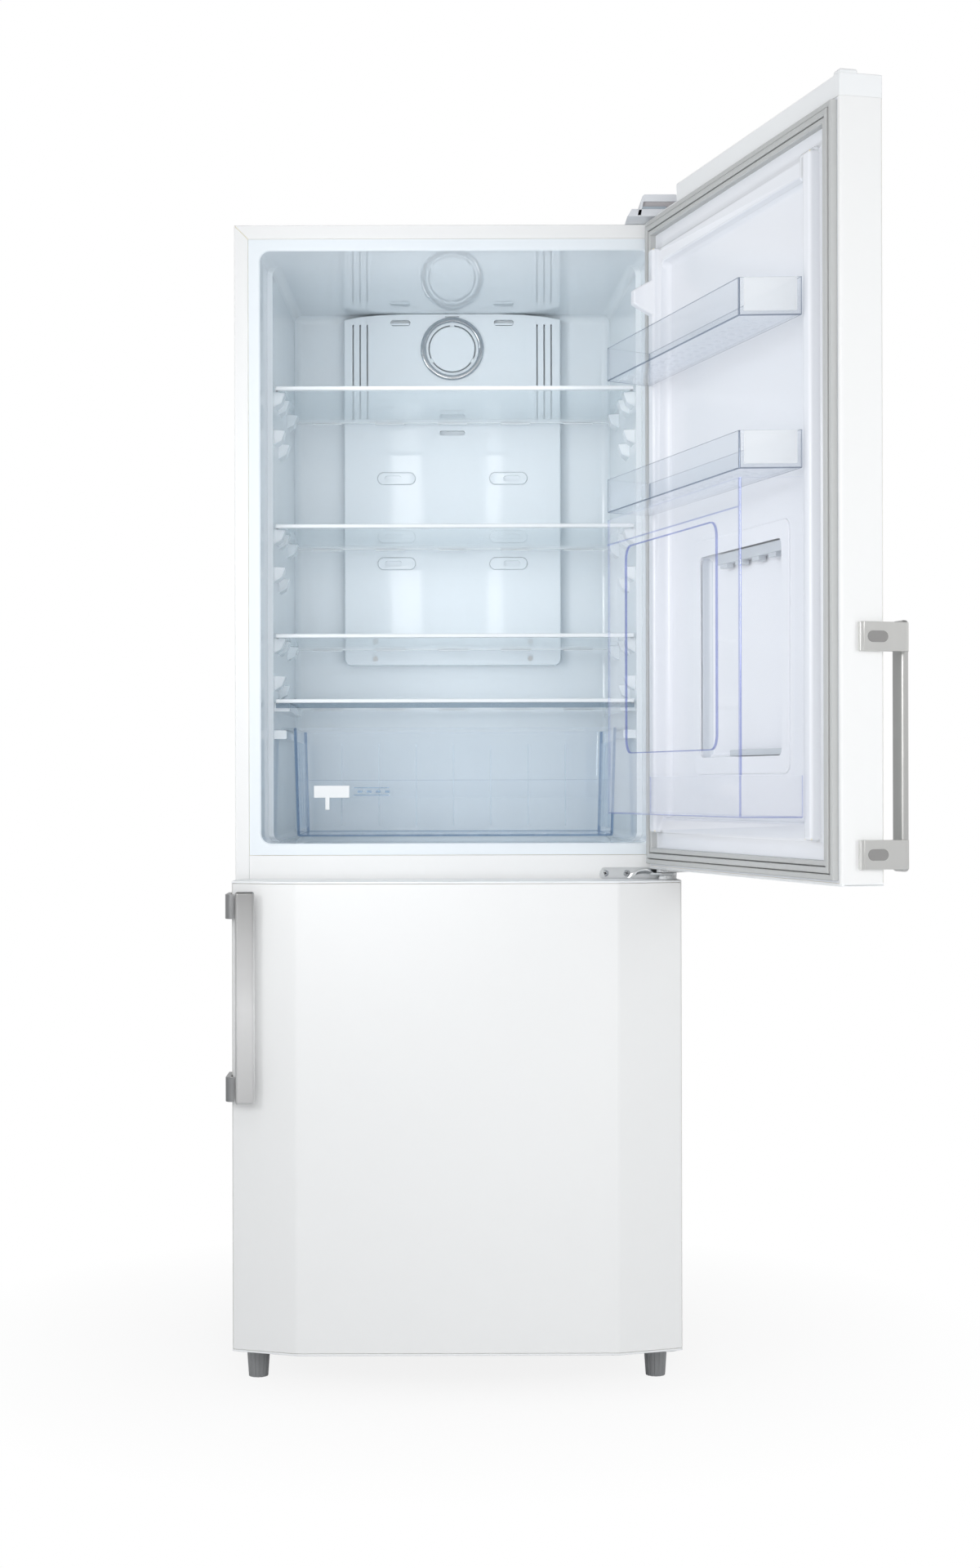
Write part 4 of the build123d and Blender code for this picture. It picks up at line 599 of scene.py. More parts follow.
for name, top, body in (
    ("upper_shelf", shelf_tops[0], "upper_shelf_body"),
    ("middle_shelf", shelf_tops[1], "middle_shelf_body"),
    ("lower_shelf", shelf_tops[2], "lower_shelf_body"),
    ("crisper_cover", 1025.0, "cabinet"),
):
    dress(name, shelf_glass)
    strip = bmesh.new()
    front_zs, rail_zs = (top - 5.2, top + 1.2), (top - 5.5, top + 1.5)
    soft_block(
        strip, about(0, strip_half), strip_y, front_zs, 1.8, 3, lambda p: p.y < strip_y[0] + 1)
    soft_block(strip, about(0, rail_half), rail_y, rail_zs, 1.2, 2, lambda p: p.z > top)
    for k in range(-2, 3):
        xs = about(k * tooth_pitch, tooth_half)
        teeth = (rail_y[0], rail_y[0] + 7), (top - 7.8, top - 5.0)
        soft_block(strip, xs, *teeth, 1.0, 2, lambda p: p.z < top - 7)
    settle(strip, name + "_strips", [strip_white], body, [name + "_trims"])
    if name == "crisper_cover":
        # Painted shade: a thin dark clear strip hangs under the cover's front strip.
        shade_strip = bmesh.new()
        hung = (strip_y[0] + 2.0, strip_y[1] - 4.0), (top - 13.5, top - 5.2)
        soft_block(shade_strip, about(0, strip_half), *hung, 0.5)
        settle(shade_strip, "crisper_cover_shade_strip", [cover_shade_strip], body, [])
    # Painted shade: small dark grey blocks under both ends of the front strip.
    end_shade_blocks = bmesh.new()
    for side in (-1, 1):
        xs = (side * (strip_half - 1), side * (strip_half - 5))
        soft_block(end_shade_blocks, xs, (strip_y[0] + 1.5, strip_y[1]), (top - 6.6, top - 5.1), 0.5)
    settle(end_shade_blocks, name + "_pads", [grey_plastic], body, [])

# ---------------------------------------------------------------- the crisper
# A deep drawer of clear plastic, moulded with round corners, ribs in its back and sides, a rim that
# hangs on the ledges, and a band across its front that carries the white humidity slider.

crisper_top, crisper_low, crisper_half, crisper_draft = 979.0, 801.0, 265.0, 5.0
crisper_y, crisper_t = (-178.0, 142.0), 2.5
hung_half, hung_y, hung_z = 284.0, (-182.0, 142.0), (976.0, 979.0)
rib_z, rib_half = (crisper_low + 12, crisper_top - 22), 1.2
band_z, slide_y, mark_y = (864.0, 893.5), (-184.6, -181.2), (-180.2, -178.6)

crisper_plastic = clear("crisper_plastic", (0.986, 0.991, 0.996), (0.84, 0.9, 0.95), 0.02, 0.06)
# The crisper's second finish is painted shade: its rounded side corners, the bends of its floor and the
# band's top are tinted darker blue for how light bends in the clear plastic.
crisper_edges = clear("crisper_edges", (0.5, 0.62, 0.78), (0.36, 0.46, 0.62), 0.3, 0.1)
crisper_ribs = clear("crisper_ribs", (0.95, 0.97, 0.985), (0.86, 0.91, 0.95), 0.12, 0.1)


def tint(faces, index=1):
    """Give these faces the piece's next finish."""
    for face in faces:
        if face.is_valid:
            face.material_index = index


def opened(bm, axis):
    """Take away the faces that look along an axis."""
    bm.normal_update()
    bmesh.ops.delete(bm, geom=[f for f in bm.faces if f.normal[axis] > 0.9], context="FACES")


def lean(verts, below, way):
    """Move an upright's corners under a height, so that it follows a drafted wall."""
    for v in verts:
        if v.co.z < below:
            v.co += Vector(way)


box = bmesh.new()
for v in block(box, about(0, crisper_half), crisper_y, (crisper_low, crisper_top)):
    if v.co.z < crisper_low + 1:
        v.co.x -= math.copysign(crisper_draft, v.co.x)
        v.co.y += crisper_draft if v.co.y < 0 else -crisper_draft
opened(box, 2)
bends = rounded(box, that_run(box.edges, 2, 50), 12.0, 4)
box.normal_update()
tint([f for f in bends if f.is_valid and abs(f.normal.x) > 0.6])
bends = rounded(box, where_ends(box.edges, lambda p: p.z < crisper_low + 1), 4.0)
box.normal_update()
tint([f for f in bends if f.is_valid and f.normal.z < -0.3])
bmesh.ops.solidify(box, geom=box.faces[:], thickness=crisper_t)
for k in range(-3, 4):
    xs = about(66.0 * k, rib_half)
    rib = block(box, xs, (crisper_y[1] - 9.0, crisper_y[1] - 2.0), rib_z)
    lean(rib, rib_z[0] + 1, (0, -crisper_draft, 0))
    tint(faces_at(rib), 2)
for side in (-1, 1):
    for k in range(5):
        y = crisper_y[0] + 52.0 + 54.0 * k
        xs = (side * (crisper_half - 3.0), side * (crisper_half - 8.0))
        rib = block(box, xs, about(y, rib_half), rib_z)
        lean(rib, rib_z[0] + 1, (-side * crisper_draft, 0, 0))
        tint(faces_at(rib), 2)
inner_half = crisper_half - crisper_t
for xs, ys in (
    ((-hung_half, -inner_half), hung_y),
    ((inner_half, hung_half), hung_y),
    ((-inner_half, inner_half), (hung_y[0], crisper_y[0] + crisper_t)),
    ((-inner_half, inner_half), (crisper_y[1] - crisper_t, hung_y[1])),
):
    block(box, xs, ys, hung_z)
for side in (-1, 1):
    xs = (side * (crisper_half - 17.0), side * (crisper_half - 19.0))
    post = block(box, xs, (crisper_y[0] - 2.0, crisper_y[0] + 1.0), (crisper_low + 9, hung_z[0]))
    lean(post, crisper_low + 10, (0, crisper_draft * 0.9, 0))
band = block(box, about(0, crisper_half - 8), (crisper_y[0] - 2.6, crisper_y[0] + 2.0), band_z)
for v in band:
    v.co.y += crisper_draft * (crisper_top - v.co.z) / (crisper_top - crisper_low)
soften(box, band, lambda p: p.y < crisper_y[0] + 1.2, 1.2, 2)
box.normal_update()
level = [f for f in box.faces if f.calc_area() < 3000 and abs(f.normal.z) > 0.6]
tint([f for f in level if abs(f.calc_center_median().z - band_z[1]) < 1.5])
for k in range(-4, 5):
    wave = (crisper_y[0] + 3.0, crisper_y[0] + 9.0), (crisper_low + 2.0, crisper_low + 5.5)
    soft_block(box, about(56.0 * k, 20.0), *wave, 1.5)
crisper_finishes = [crisper_plastic, crisper_edges, crisper_ribs]
settle(box, "crisper_box", crisper_finishes, "crisper_body", ["crisper"])

slide = bmesh.new()
soft_block(slide, (-231.0, -173.0), slide_y, (864.5, 884.5), 1.0, 2, lambda p: p.y < slide_y[0] + 0.5)
soft_block(slide, (-212.5, -205.5), (-185.0, slide_y[1]), (845.0, 866.0), 1.0, 2, lambda p: p.y < -184)
for k in range(3):
    groove_z = (868.5 + 5.5 * k, 869.6 + 5.5 * k)
    block(slide, (-226.0, -178.0), (slide_y[0] - 0.3, slide_y[0] + 0.5), groove_z)
settle(
    slide, "humidity_slide", [white_plastic], "humidity_slider_body", ["humidity_slider"])

track_print = clear("track_print", (0.75, 0.84, 0.93), (0.6, 0.72, 0.84), 0.35, 0.1)
track = bmesh.new()
for z in (868.0, 880.0):
    soft_block(track, (-166.0, -108.0), (mark_y[0] - 0.2, mark_y[1]), (z, z + 1.6), 0.4)
for x in (-160.0, -145.0, -130.0, -115.0):
    soft_block(track, (x, x + 8.0), mark_y, (872.5, 876.5), 0.8)
settle(track, "slider_track", [track_print], "crisper_body", [])

# ---------------------------------------------------------------- the base, the back and the machinery
# A galvanised pan carries the cabinet on two screw feet and two rollers, and holds the compressor
# and its finned coil behind a vented cover. These keep their drawn shapes.

galvanised_steel = moulded("galvanised_steel", (0.62, 0.64, 0.66), 0.42, 90.0, 0.1, 0.12, metal=1.0)
black_paint = moulded("black_paint", (0.03, 0.03, 0.032), 0.3, 300.0, 0.15, 0.08, coat=0.2)
coil_metal = moulded("coil_metal", (0.7, 0.71, 0.72), 0.38, 400.0, 0.15, 0.06, metal=1.0)
# Dark plastic for the real black parts, and painted shade in the screws' cross recesses.
dark_plastic = moulded("dark_plastic", (0.05, 0.05, 0.055), 0.45, 600.0, 0.15, 0.05)
zinc_steel = moulded("zinc_steel", (0.78, 0.8, 0.81), 0.3, 180.0, 0.12, 0.08, metal=1.0)
foam = moulded("foam", (0.82, 0.74, 0.5), 0.85, 300.0, 0.8, 0.06)
foot_grey = moulded("foot_grey", (0.29, 0.295, 0.3), 0.34, 500.0, 0.12, 0.05)

for finish, width, names in (
    (galvanised_steel, 0.3, ["base_pan"]),
    (galvanised_steel, 0.0, ["bay_cover"]),
    (black_paint, 0.0, ["compressor"]),
    (coil_metal, 0.0, ["condenser_coil", "evaporator"]),
    (dark_plastic, 1.0, ["evaporation_tray"]),
    (dark_plastic, 0.5, ["power_inlet"]),
    (dark_plastic, 0.0, ["freezer_fan", "left_roller", "right_roller"]),
    (zinc_steel, 0.4, ["bottom_hinge", "top_hinge"]),
    (zinc_steel, 0.0, ["roller_axles", "screws"]),
    (foot_grey, 0.0, ["left_foot", "right_foot"]),
    (liner_white, 0.0, ["evaporator_cover"]),
    (foam, 0.0, ["insulation_foam", "fridge_door_foam", "freezer_door_foam"]),
):
    for name in names:
        dress(name, finish, width)

# ---------------------------------------------------------------- the hinge cover on the roof
# Two grey mouldings over the top hinge: a low skirt with a slanted side, and a raised box on it
# with an open recess in its front, where the hinge arm comes out.

light_grey_plastic = moulded("light_grey_plastic", (0.68, 0.7, 0.73), 0.35, 600.0, 0.1)
recess_grey = moulded("recess_grey", (0.34, 0.39, 0.44), 0.45, 300.0, 0.1, 0.15)
recess_brown = moulded("recess_brown", (0.42, 0.4, 0.41), 0.45, 300.0, 0.1, 0.1)
cover_y, cover_right, cover_low, cover_top = (-347.0, -225.0), 350.0, 1776.0, 1808.4
skirt_x, skirt_z, box_x, slant = 270.0, (1774.3, 1786.0), 286.0, 8.0

hood = bmesh.new()
skirt = block(hood, (skirt_x, cover_right), cover_y, skirt_z)
for v in skirt:
    if v.co.x < skirt_x + 1 and v.co.z > skirt_z[1] - 1:
        v.co.x += 6.0
soften(hood, skirt, lambda p: p.z > skirt_z[0] + 1, 1.5, 2)
shell = [
    (box_x, cover_low), (box_x + slant, cover_top), (cover_right - 2, cover_top),
    (cover_right - 2, 1797.4), (box_x + slant + 1, 1797.4), (box_x + 5.0, cover_low),
]
roof = plate(hood, [(x, cover_y[0], z) for x, z in shell], (0, cover_y[1] - cover_y[0], 0))
rounded(hood, that_run(where_ends(around(roof), lambda p: p.z > 1800), 1, 50), 4.0, 4)
block(hood, (box_x + 6, cover_right - 2), (cover_y[0] + 9.0, cover_y[1]), (cover_low, 1800.0))
soft_block(
    hood, (cover_right - 3.0, cover_right), cover_y, (cover_low, 1806.0), 1.4, 2, lambda p: p.z > 1800)
settle(hood, "top_hinge_hood", [light_grey_plastic], "cabinet", ["top_hinge_cover"])

# The block and the thin plate in the recess stand for the hinge's metal inside; their darker tones are
# partly that metal's own colour and partly painted shade of the recess.
inner = bmesh.new()
block(inner, (box_x + 7.0, cover_right - 3.5), (cover_y[0] + 4.0, cover_y[0] + 8.0), (1789.5, 1797.6))
settle(inner, "top_hinge_recess", [recess_brown], "cabinet", [])
shield = bmesh.new()
shield_y, shield_z = (cover_y[0] + 1.0, cover_y[0] + 2.8), (cover_low, 1790.0)
soft_block(shield, (box_x + 6.5, box_x + 45.0), shield_y, shield_z, 0.6)
settle(shield, "top_hinge_shield", [recess_grey], "cabinet", [])

# ---------------------------------------------------------------- the hinge between the doors
# A zinc plated plate screwed to the bar between the doors, with a twisted arm that carries the
# pin of both doors, and two cross head screws.

pin = Vector((330.0, -327.0, 0.0))
plate_x, plate_y, plate_z = (227.0, 321.0), (-298.0, -295.2), (735.5, 754.0)
arm_z, arm_t, screw_xs, head_out = 744.8, 3.0, (236.5, 270.5), 2.6
middle_z, half_tall = sum(plate_z) / 2, (plate_z[1] - plate_z[0]) / 2


def arc(centre, radius, start, end, steps=5):
    """Points along a round corner of an outline."""
    turns = (math.radians(start + (end - start) * k / steps) for k in range(steps + 1))
    return [(centre[0] + radius * math.cos(a), centre[1] + radius * math.sin(a)) for a in turns]


def on_pin(bm, r0, r1, tall, middle):
    """A round part about the doors' pin; gives back its corners."""
    place = Matrix.Translation((pin.x, pin.y, middle))
    return bmesh.ops.create_cone(
        bm, cap_ends=True, segments=32, radius1=r0, radius2=r1, depth=tall, matrix=place)["verts"]


mid = bmesh.new()
base_line = arc((plate_x[0] + half_tall, middle_z), half_tall, 90, 270, 12)
base_line += [(plate_x[1], plate_z[0]), (plate_x[1], plate_z[1])]
base = plate(mid, [(x, plate_y[0], z) for x, z in base_line], (0, plate_y[1] - plate_y[0], 0))
soften(mid, base, lambda p: p.y < plate_y[0] + 0.5, 0.5, 2)
arm_line = (
    (347.0, plate_y[0]), (347.0, pin.y), (340.0, -344.0), (320.0, -344.0), (306.0, pin.y),
    (301.0, plate_y[0]),
)
arm = plate(mid, [(x, y, arm_z - arm_t / 2) for x, y in arm_line], (0, 0, arm_t))
rounded(mid, around(arm), 0.4, 2)
twist = mid.faces.new([mid.verts.new((x, plate_y[0] - out, z)) for x, out, z in (
    (272.0, 0.0, 737.0), (276.0, 0.0, 744.0), (276.0, 3.0, 744.0), (272.0, 3.0, 737.0))])
for way in ((9.0, -2.0, 4.0), (8.0, -4.0, 3.0), (8.0, -5.0, 1.0), (9.0, -5.0, -1.0), (10.0, -4.0, -0.5)):
    twist = push(mid, twist, way, hollow=False)
heads = bmesh.new()
for x in screw_xs:
    disc(heads, (x, middle_z), 0, 5.2, plate_y[0] - head_out, plate_y[0] + 0.2, 24)
    front_edges = where_ends(heads.edges, lambda p: abs(p.y - plate_y[0] + head_out) < 0.05)
    rounded(heads, where_ends(front_edges, lambda p: (p.xz - Vector((x, middle_z))).length > 5), 2.0, 4)
    disc(mid, (x, middle_z), 5.6, 6.6, plate_y[0] - 0.5, plate_y[0] + 0.2, 24)
settle(heads, "mid_hinge_screw_heads", [chrome], "cabinet", [])
on_pin(mid, 4.0, 4.0, 52.0, arm_z)
settle(mid, "mid_hinge_plate", [zinc_steel], "cabinet", ["mid_hinge"])
# Painted shade: the cross recesses of the screw heads are dark bars.
crosses = bmesh.new()
for x in screw_xs:
    for turn in (0.4, 0.4 + math.pi / 2):
        bar = block(crosses, (-2.9, 2.9), (plate_y[0] - 2.75, plate_y[0] - 2.2), (-0.6, 0.6))
        turned(crosses, bar, turn, (x, middle_z))
settle(crosses, "mid_hinge_screw_crosses", [dark_plastic], "cabinet", [])

# ---------------------------------------------------------------- the doors' painted panels
# Each door's outside is one sheet, folded back at both edges and creased twice into a shallow
# bay, with a moulded cap over its top and bottom. A door's pieces are made shut, with n the
# depth behind the side edge of its front, and the upper door's are then turned to stand open.

swing = Matrix.Translation(pin) @ Matrix.Rotation(math.radians(105.2), 4, "Z") @ Matrix.Translation(-pin)
door_y, door_half = -367.0, 350.0
crease_x, crease_n, door_n = 249.0, -32.7, 60.0
front_line = [(-door_half, 0.0), (-crease_x, crease_n), (crease_x, crease_n), (door_half, 0.0)]
fridge_door_z, freezer_door_z = (757.0, 1773.0), (9.0, 732.5)
head_z, notch_x = (1773.2, 1803.0), 228.0


def deep(n0, n1):
    """The two y of a part of a door, from its depths."""
    return door_y + n0, door_y + n1


def wall(bm, line, zs, facing):
    """An upright sheet over a line of corners in plan, facing the front (-1) or the back (1)."""
    low = [bm.verts.new((x, door_y + n, zs[0])) for x, n in line]
    edges = [bm.edges.new(pair) for pair in zip(low, low[1:])]
    far = new_verts(bmesh.ops.extrude_edge_only(bm, edges=edges))
    bmesh.ops.translate(bm, vec=(0, 0, zs[1] - zs[0]), verts=far)
    bm.normal_update()
    outer = max(bm.faces, key=lambda f: f.calc_center_median().y * facing)
    if outer.normal.y * facing < 0:
        bmesh.ops.reverse_faces(bm, faces=bm.faces)


def door_panel(name, zs, move, body, stands_for):
    """The painted sheet of a door, with a radius at each fold."""
    bm = bmesh.new()
    lip = door_half - 6.0
    line = [(-lip, door_n), (-door_half, door_n), *front_line, (door_half, door_n), (lip, door_n)]
    wall(bm, line, zs, -1)
    for x, n in line[1:-1]:
        fold = where_ends(bm.edges, lambda p: (p.xy - Vector((x, door_y + n))).length < 0.5)
        rounded(bm, [e for e in fold if not e.is_boundary], 4.5 if n == door_n else 3.0, 4)
    bmesh.ops.solidify(bm, geom=bm.faces[:], thickness=0.8)
    settle(bm, name, [white_paint], body, [stands_for], move, crease=60.0)


def top_and_corners(verts, above):
    """The edges over a height and the upright ones."""
    edges = around(verts)
    return list(dict.fromkeys(where_ends(edges, lambda p: p.z > above) + that_run(edges, 2, 1)))


def cap(bm, right, zs, radius=1.5, all_round=False):
    """A moulded cap with the door's outline up to an x, rounded along its outer edge."""
    line = [(-door_half, door_n), *front_line, (door_half, door_n)]
    if right < door_half:
        line = [(x, n) for x, n in line if x < right] + [(right, crease_n), (right, door_n)]
    made = plate(bm, [(x, door_y + n, zs[0]) for x, n in line], (0, 0, zs[1] - zs[0]))
    rounded(bm, around(made) if all_round else top_and_corners(made, zs[1] - 0.1), radius)


door_panel("fridge_door_sheet", fridge_door_z, swing, "fridge_door", "fridge_door_panel")
door_panel("freezer_door_sheet", freezer_door_z, None, "freezer_door", "freezer_door_panel")

head = bmesh.new()
cap(head, notch_x, head_z)
low_x = notch_x - 6
low_line = [(low_x, door_n), (low_x, crease_n), *front_line[2:], (door_half, door_n)]
low_cap = plate(head, [(x, door_y + n, head_z[0]) for x, n in low_line], (0, 0, 3.8))
soften(head, low_cap, lambda p: p.z > 1776, 1.2, 2)
bump = block(head, (0.5 - door_half, 21.0 - door_half), deep(34.0, 59.5), (1800.0, 1808.3))
rounded(head, top_and_corners(bump, 1803), 3.0)
settle(
    head, "fridge_door_head", [white_plastic], "fridge_door", ["fridge_door_top_cap"],
    swing,
)
foot = bmesh.new()
cap(foot, door_half, (753.0, 756.4), 1.2, True)
lever = [
    (318.0, 52.0), (318.0, 28.0), (336.0, -2.0), (349.5, 1.0), (349.5, 12.0), (342.0, 46.0), (336.0, 54.0),
]
stop = plate(foot, [(x, door_y + n, 746.9) for x, n in lever], (0, 0, 6.3))
rounded(foot, around(stop), 1.5, 2)
settle(foot, "fridge_door_foot", [white_plastic], "fridge_door", [], swing)
dress("fridge_door_bottom_cap", white_plastic, 0.5)
ends = bmesh.new()
cap(ends, door_half, (733.1, 736.5), 1.6)
cap(ends, door_half, (5.0, 8.4), 1.2, True)
bush = on_pin(ends, 12.0, 10.0, 6.2, 739.8)
soften(ends, bush, lambda p: p.z > 742, 1.0, 2)
settle(ends, "freezer_door_ends", [white_plastic], "freezer_door", ["freezer_door_caps"])

# ---------------------------------------------------------------- the doors' linings
# White sheets drawn in a mould, with a flat flange under the seal, a raised dyke at both sides that
# holds the bins, and in the upper door a recess for a tank behind a flat frame.

dyke_out, dyke_w, flange_half, dyke_slope = 300.0, 23.0, 344.0, 6.0
ring_n, pocket_n, dyke_n, ring_w = 66.0, 52.0, 80.0, 22.0
tank_half, tank_z, tank_n, tank_rim_w = 150.0, (925.0, 1224.0), 34.0, 25.0
tank_cut_y = deep(30.0, 64.0)
door_white = moulded("door_white", (0.8, 0.82, 0.86), 0.16, 260.0, 0.03, 0.012, waves=0.08)


def lining_for_door(half, zs, dyke_z):
    """A flange with a raised ring on it and a shallow pocket inside the ring."""
    bm = bmesh.new()
    face = bm.faces.new([bm.verts.new((x, door_y + door_n, z)) for x, z in (
        (flange_half, zs[0]), (-flange_half, zs[0]), (-flange_half, zs[1]), (flange_half, zs[1]))])
    face.normal_update()
    flange_w = flange_half - half - dyke_slope
    bmesh.ops.inset_region(bm, faces=[face], thickness=flange_w, use_boundary=True, use_even_offset=True)
    for v in face.verts:
        v.co.z = dyke_z[0] - dyke_slope - 4 if v.co.z < sum(zs) / 2 else dyke_z[1] + dyke_slope + 8
    wide, high = half / (half + dyke_slope), dyke_z[1] - dyke_z[0]
    ring = push(bm, face, (0, ring_n - door_n, -2.0), (wide, 1, high / (high + 2 * dyke_slope + 12)))
    bmesh.ops.inset_region(bm, faces=[ring], thickness=ring_w, use_even_offset=True)
    push(bm, ring, (0, pocket_n - ring_n, 0), ((half - dyke_w - 3) / (half - ring_w), 1, 0.992))
    bm.normal_update()
    steep = [e for e in that_run(bm.edges, 1, 3) if abs(e.verts[0].co.x) < half - dyke_w + 3]
    rounded(bm, [e for e in steep if len(e.link_faces) == 2], 10.0, 4)
    for n, near, radius in ((pocket_n, 0.3, 6.0), (ring_n, 0.6, 2.0)):
        rounded(bm, where_ends(folds(bm, 0.35), lambda p: abs(p.y - door_y - n) < near), radius)
    bmesh.ops.solidify(bm, geom=bm.faces[:], thickness=1.2)
    for side in (-1, 1):
        xs, ys = (side * half, side * (half - dyke_w)), deep(58.0, dyke_n)
        soft_block(bm, xs, ys, dyke_z, 4.8, 4, lambda p: p.y > door_y + 70, any)
    return bm


def cut_through(piece, half, ys, zs, radius, segments):
    """Cut an opening with round corners from front to back through a piece of the open door."""
    hole = bmesh.new()
    rounded(hole, that_run(around(block(hole, (-half, half), ys, zs)), 1, 5), radius, segments)
    bmesh.ops.transform(hole, matrix=swing, verts=hole.verts)
    cut(piece, hole)


inside = lining_for_door(dyke_out, (757.5, 1772.5), (811.0, 1716.0))
peg_line = ((70.0, 1607.0), (110.0, 1628.0), (110.0, 1650.0), (70.0, 1672.0))
peg = plate(inside, [(dyke_out - dyke_w + 2, door_y + n, z) for n, z in peg_line], (17.0, 0, 0))
rounded(inside, around(peg), 3.0)
step_x, step_y = (2 - dyke_out, 52.0 - dyke_out), deep(56.0, 72.0)
soft_block(inside, step_x, step_y, (1684.0, 1722.0), 6.0, 4, lambda p: p.y > door_y + 60, any)
fridge_inside = settle(
    inside, "fridge_door_lining", [door_white], "fridge_door", ["fridge_door_liner"], swing)
cut_through(fridge_inside, tank_half, tank_cut_y, tank_z, 10.0, 4)

tank_rim = bmesh.new()
rim_x = about(0, tank_half + tank_rim_w)
rim_z = (tank_z[0] - tank_rim_w, tank_z[1] + tank_rim_w)
outer = block(tank_rim, rim_x, deep(50.0, 54.5), rim_z)
rounded(tank_rim, that_run(around(outer), 1, 2), 16.0, 5)
rounded(tank_rim, where_ends(tank_rim.edges, lambda p: p.y > door_y + 54.4), 2.0, 2)
bay = settle(tank_rim, "tank_bay_rim", [door_white], "fridge_door", [], swing)
cut_through(bay, tank_half, tank_cut_y, tank_z, 10.0, 4)

# Painted shade: the tank bay's side walls take a darker grey-blue finish.
bay_wall_painted_shade = moulded("bay_wall_painted_shade", (0.6, 0.64, 0.69), 0.2, 260.0, 0.03, 0.012)
cup = bmesh.new()
block(cup, about(0, tank_half), deep(tank_n, pocket_n), tank_z)
opened(cup, 1)
rounded(cup, folds(cup, 1.0), 8.0, 4)
cup.normal_update()
# Painted shade: the side walls take the darker finish.
tint([f for f in cup.faces if abs(f.normal.x) > 0.5])
bmesh.ops.reverse_faces(cup, faces=cup.faces)
bmesh.ops.solidify(cup, geom=cup.faces[:], thickness=1.2)
settle(cup, "tank_bay", [door_white, bay_wall_painted_shade], "fridge_door", [], swing)
settle(
    lining_for_door(290.0, (9.5, 732.0), (60.0, 681.5)), "freezer_door_lining", [door_white], "freezer_door",
    ["freezer_door_liner"],
)

rail_grey = moulded("rail_grey", (0.52, 0.56, 0.6), 0.25, 300.0, 0.08, 0.1)
rails = bmesh.new()
for xs, zs in (((-148.0, 92.0), (1207.5, 1223.0)), ((-148.0, 46.0), (926.0, 935.0))):
    soft_block(rails, xs, deep(37.0, 50.0), zs, 1.2)
for x in (-118.0, -60.0, 0.0, 58.0):
    soft_block(rails, (x, x + 26.0), deep(38.0, 49.0), (1201.5, 1208.5), 1.0)
settle(rails, "tank_holders", [rail_grey], "fridge_door", ["tank_rails"], swing)

# ---------------------------------------------------------------- the doors' seals
# A soft grey gasket runs round each door's lining, with three ridges and mitred corners. The
# magnet inside the middle ridge is not modelled.

seal_grey = moulded("seal_grey", (0.5, 0.51, 0.505), 0.5, 500.0, 0.1, 0.03)
seal_groove_shade = moulded("seal_groove_shade", (0.47, 0.475, 0.47), 0.55, 500.0, 0.1, 0.03)
seal_half = 342.0
# The seal's profile, step by step: how far inward, how high above the flange, and which finish;
# the second finish is painted shade in the grooves between the ridges.
seal_steps = (
    (0.0, 0.0, 0), (0.0, 8.0, 0), (1.2, 9.0, 0), (6.4, 9.0, 0), (7.4, 8.0, 1), (7.4, 2.0, 1), (8.8, 2.0, 1),
    (8.8, 10.2, 0), (9.8, 11.2, 0), (15.6, 11.2, 0), (16.6, 10.2, 1), (16.6, 2.0, 1), (18.0, 2.0, 1),
    (18.0, 8.9, 0), (18.9, 9.7, 0), (23.8, 9.7, 0), (25.0, 8.5, 0), (25.0, 0.0, 0),
)


def gasket(name, zs, body, stands_for, move):
    """A ridged frame that is built up from nested rectangles."""
    bm = bmesh.new()
    loops = []
    for inward, rise, _ in seal_steps:
        x, y, low, high = seal_half - inward, door_y + door_n + 0.1 + rise, zs[0] + inward, zs[1] - inward
        loops.append([bm.verts.new(p) for p in ((-x, y, low), (x, y, low), (x, y, high), (-x, y, high))])
    for here, there, (_, _, shade) in zip(loops, loops[1:] + loops[:1], seal_steps):
        for k in range(4):
            face = bm.faces.new((here[k], here[(k + 1) % 4], there[(k + 1) % 4], there[k]))
            face.material_index = shade
    settle(bm, name, [seal_grey, seal_groove_shade], body, [stands_for], move)


gasket("fridge_door_gasket", (761.0, 1769.0), "fridge_door", "fridge_door_seal", swing)
gasket("freezer_door_gasket", (13.0, 728.5), "freezer_door", "freezer_door_seal", None)

# ---------------------------------------------------------------- the doors' handles
# A flat bar of satin metal stands off the latch edge of each door on two brackets that wrap
# round the edge. On the door's end each bracket shows an oval grey plug over its screw.

along_bar = (1, 1, 0.03)
satin_metal = moulded("satin_metal", (0.84, 0.84, 0.82), 0.38, 900.0, 0.12, metal=1.0, stretch=along_bar)
# Painted shade: the fridge bar's metal is a darker copy of the satin metal.
bar_metal_painted_shade = moulded("bar_metal_painted_shade", (0.7, 0.7, 0.685), 0.34, 900.0, 0.12, metal=1.0, stretch=along_bar)
# The freezer bar's metal is a lighter copy of the satin metal and gets painted reflection and shade by
# height.
low_bar_painted_sheen = moulded("low_bar_painted_sheen", (0.98, 0.98, 0.975), 0.3, 900.0, 0.12, metal=1.0, stretch=along_bar)
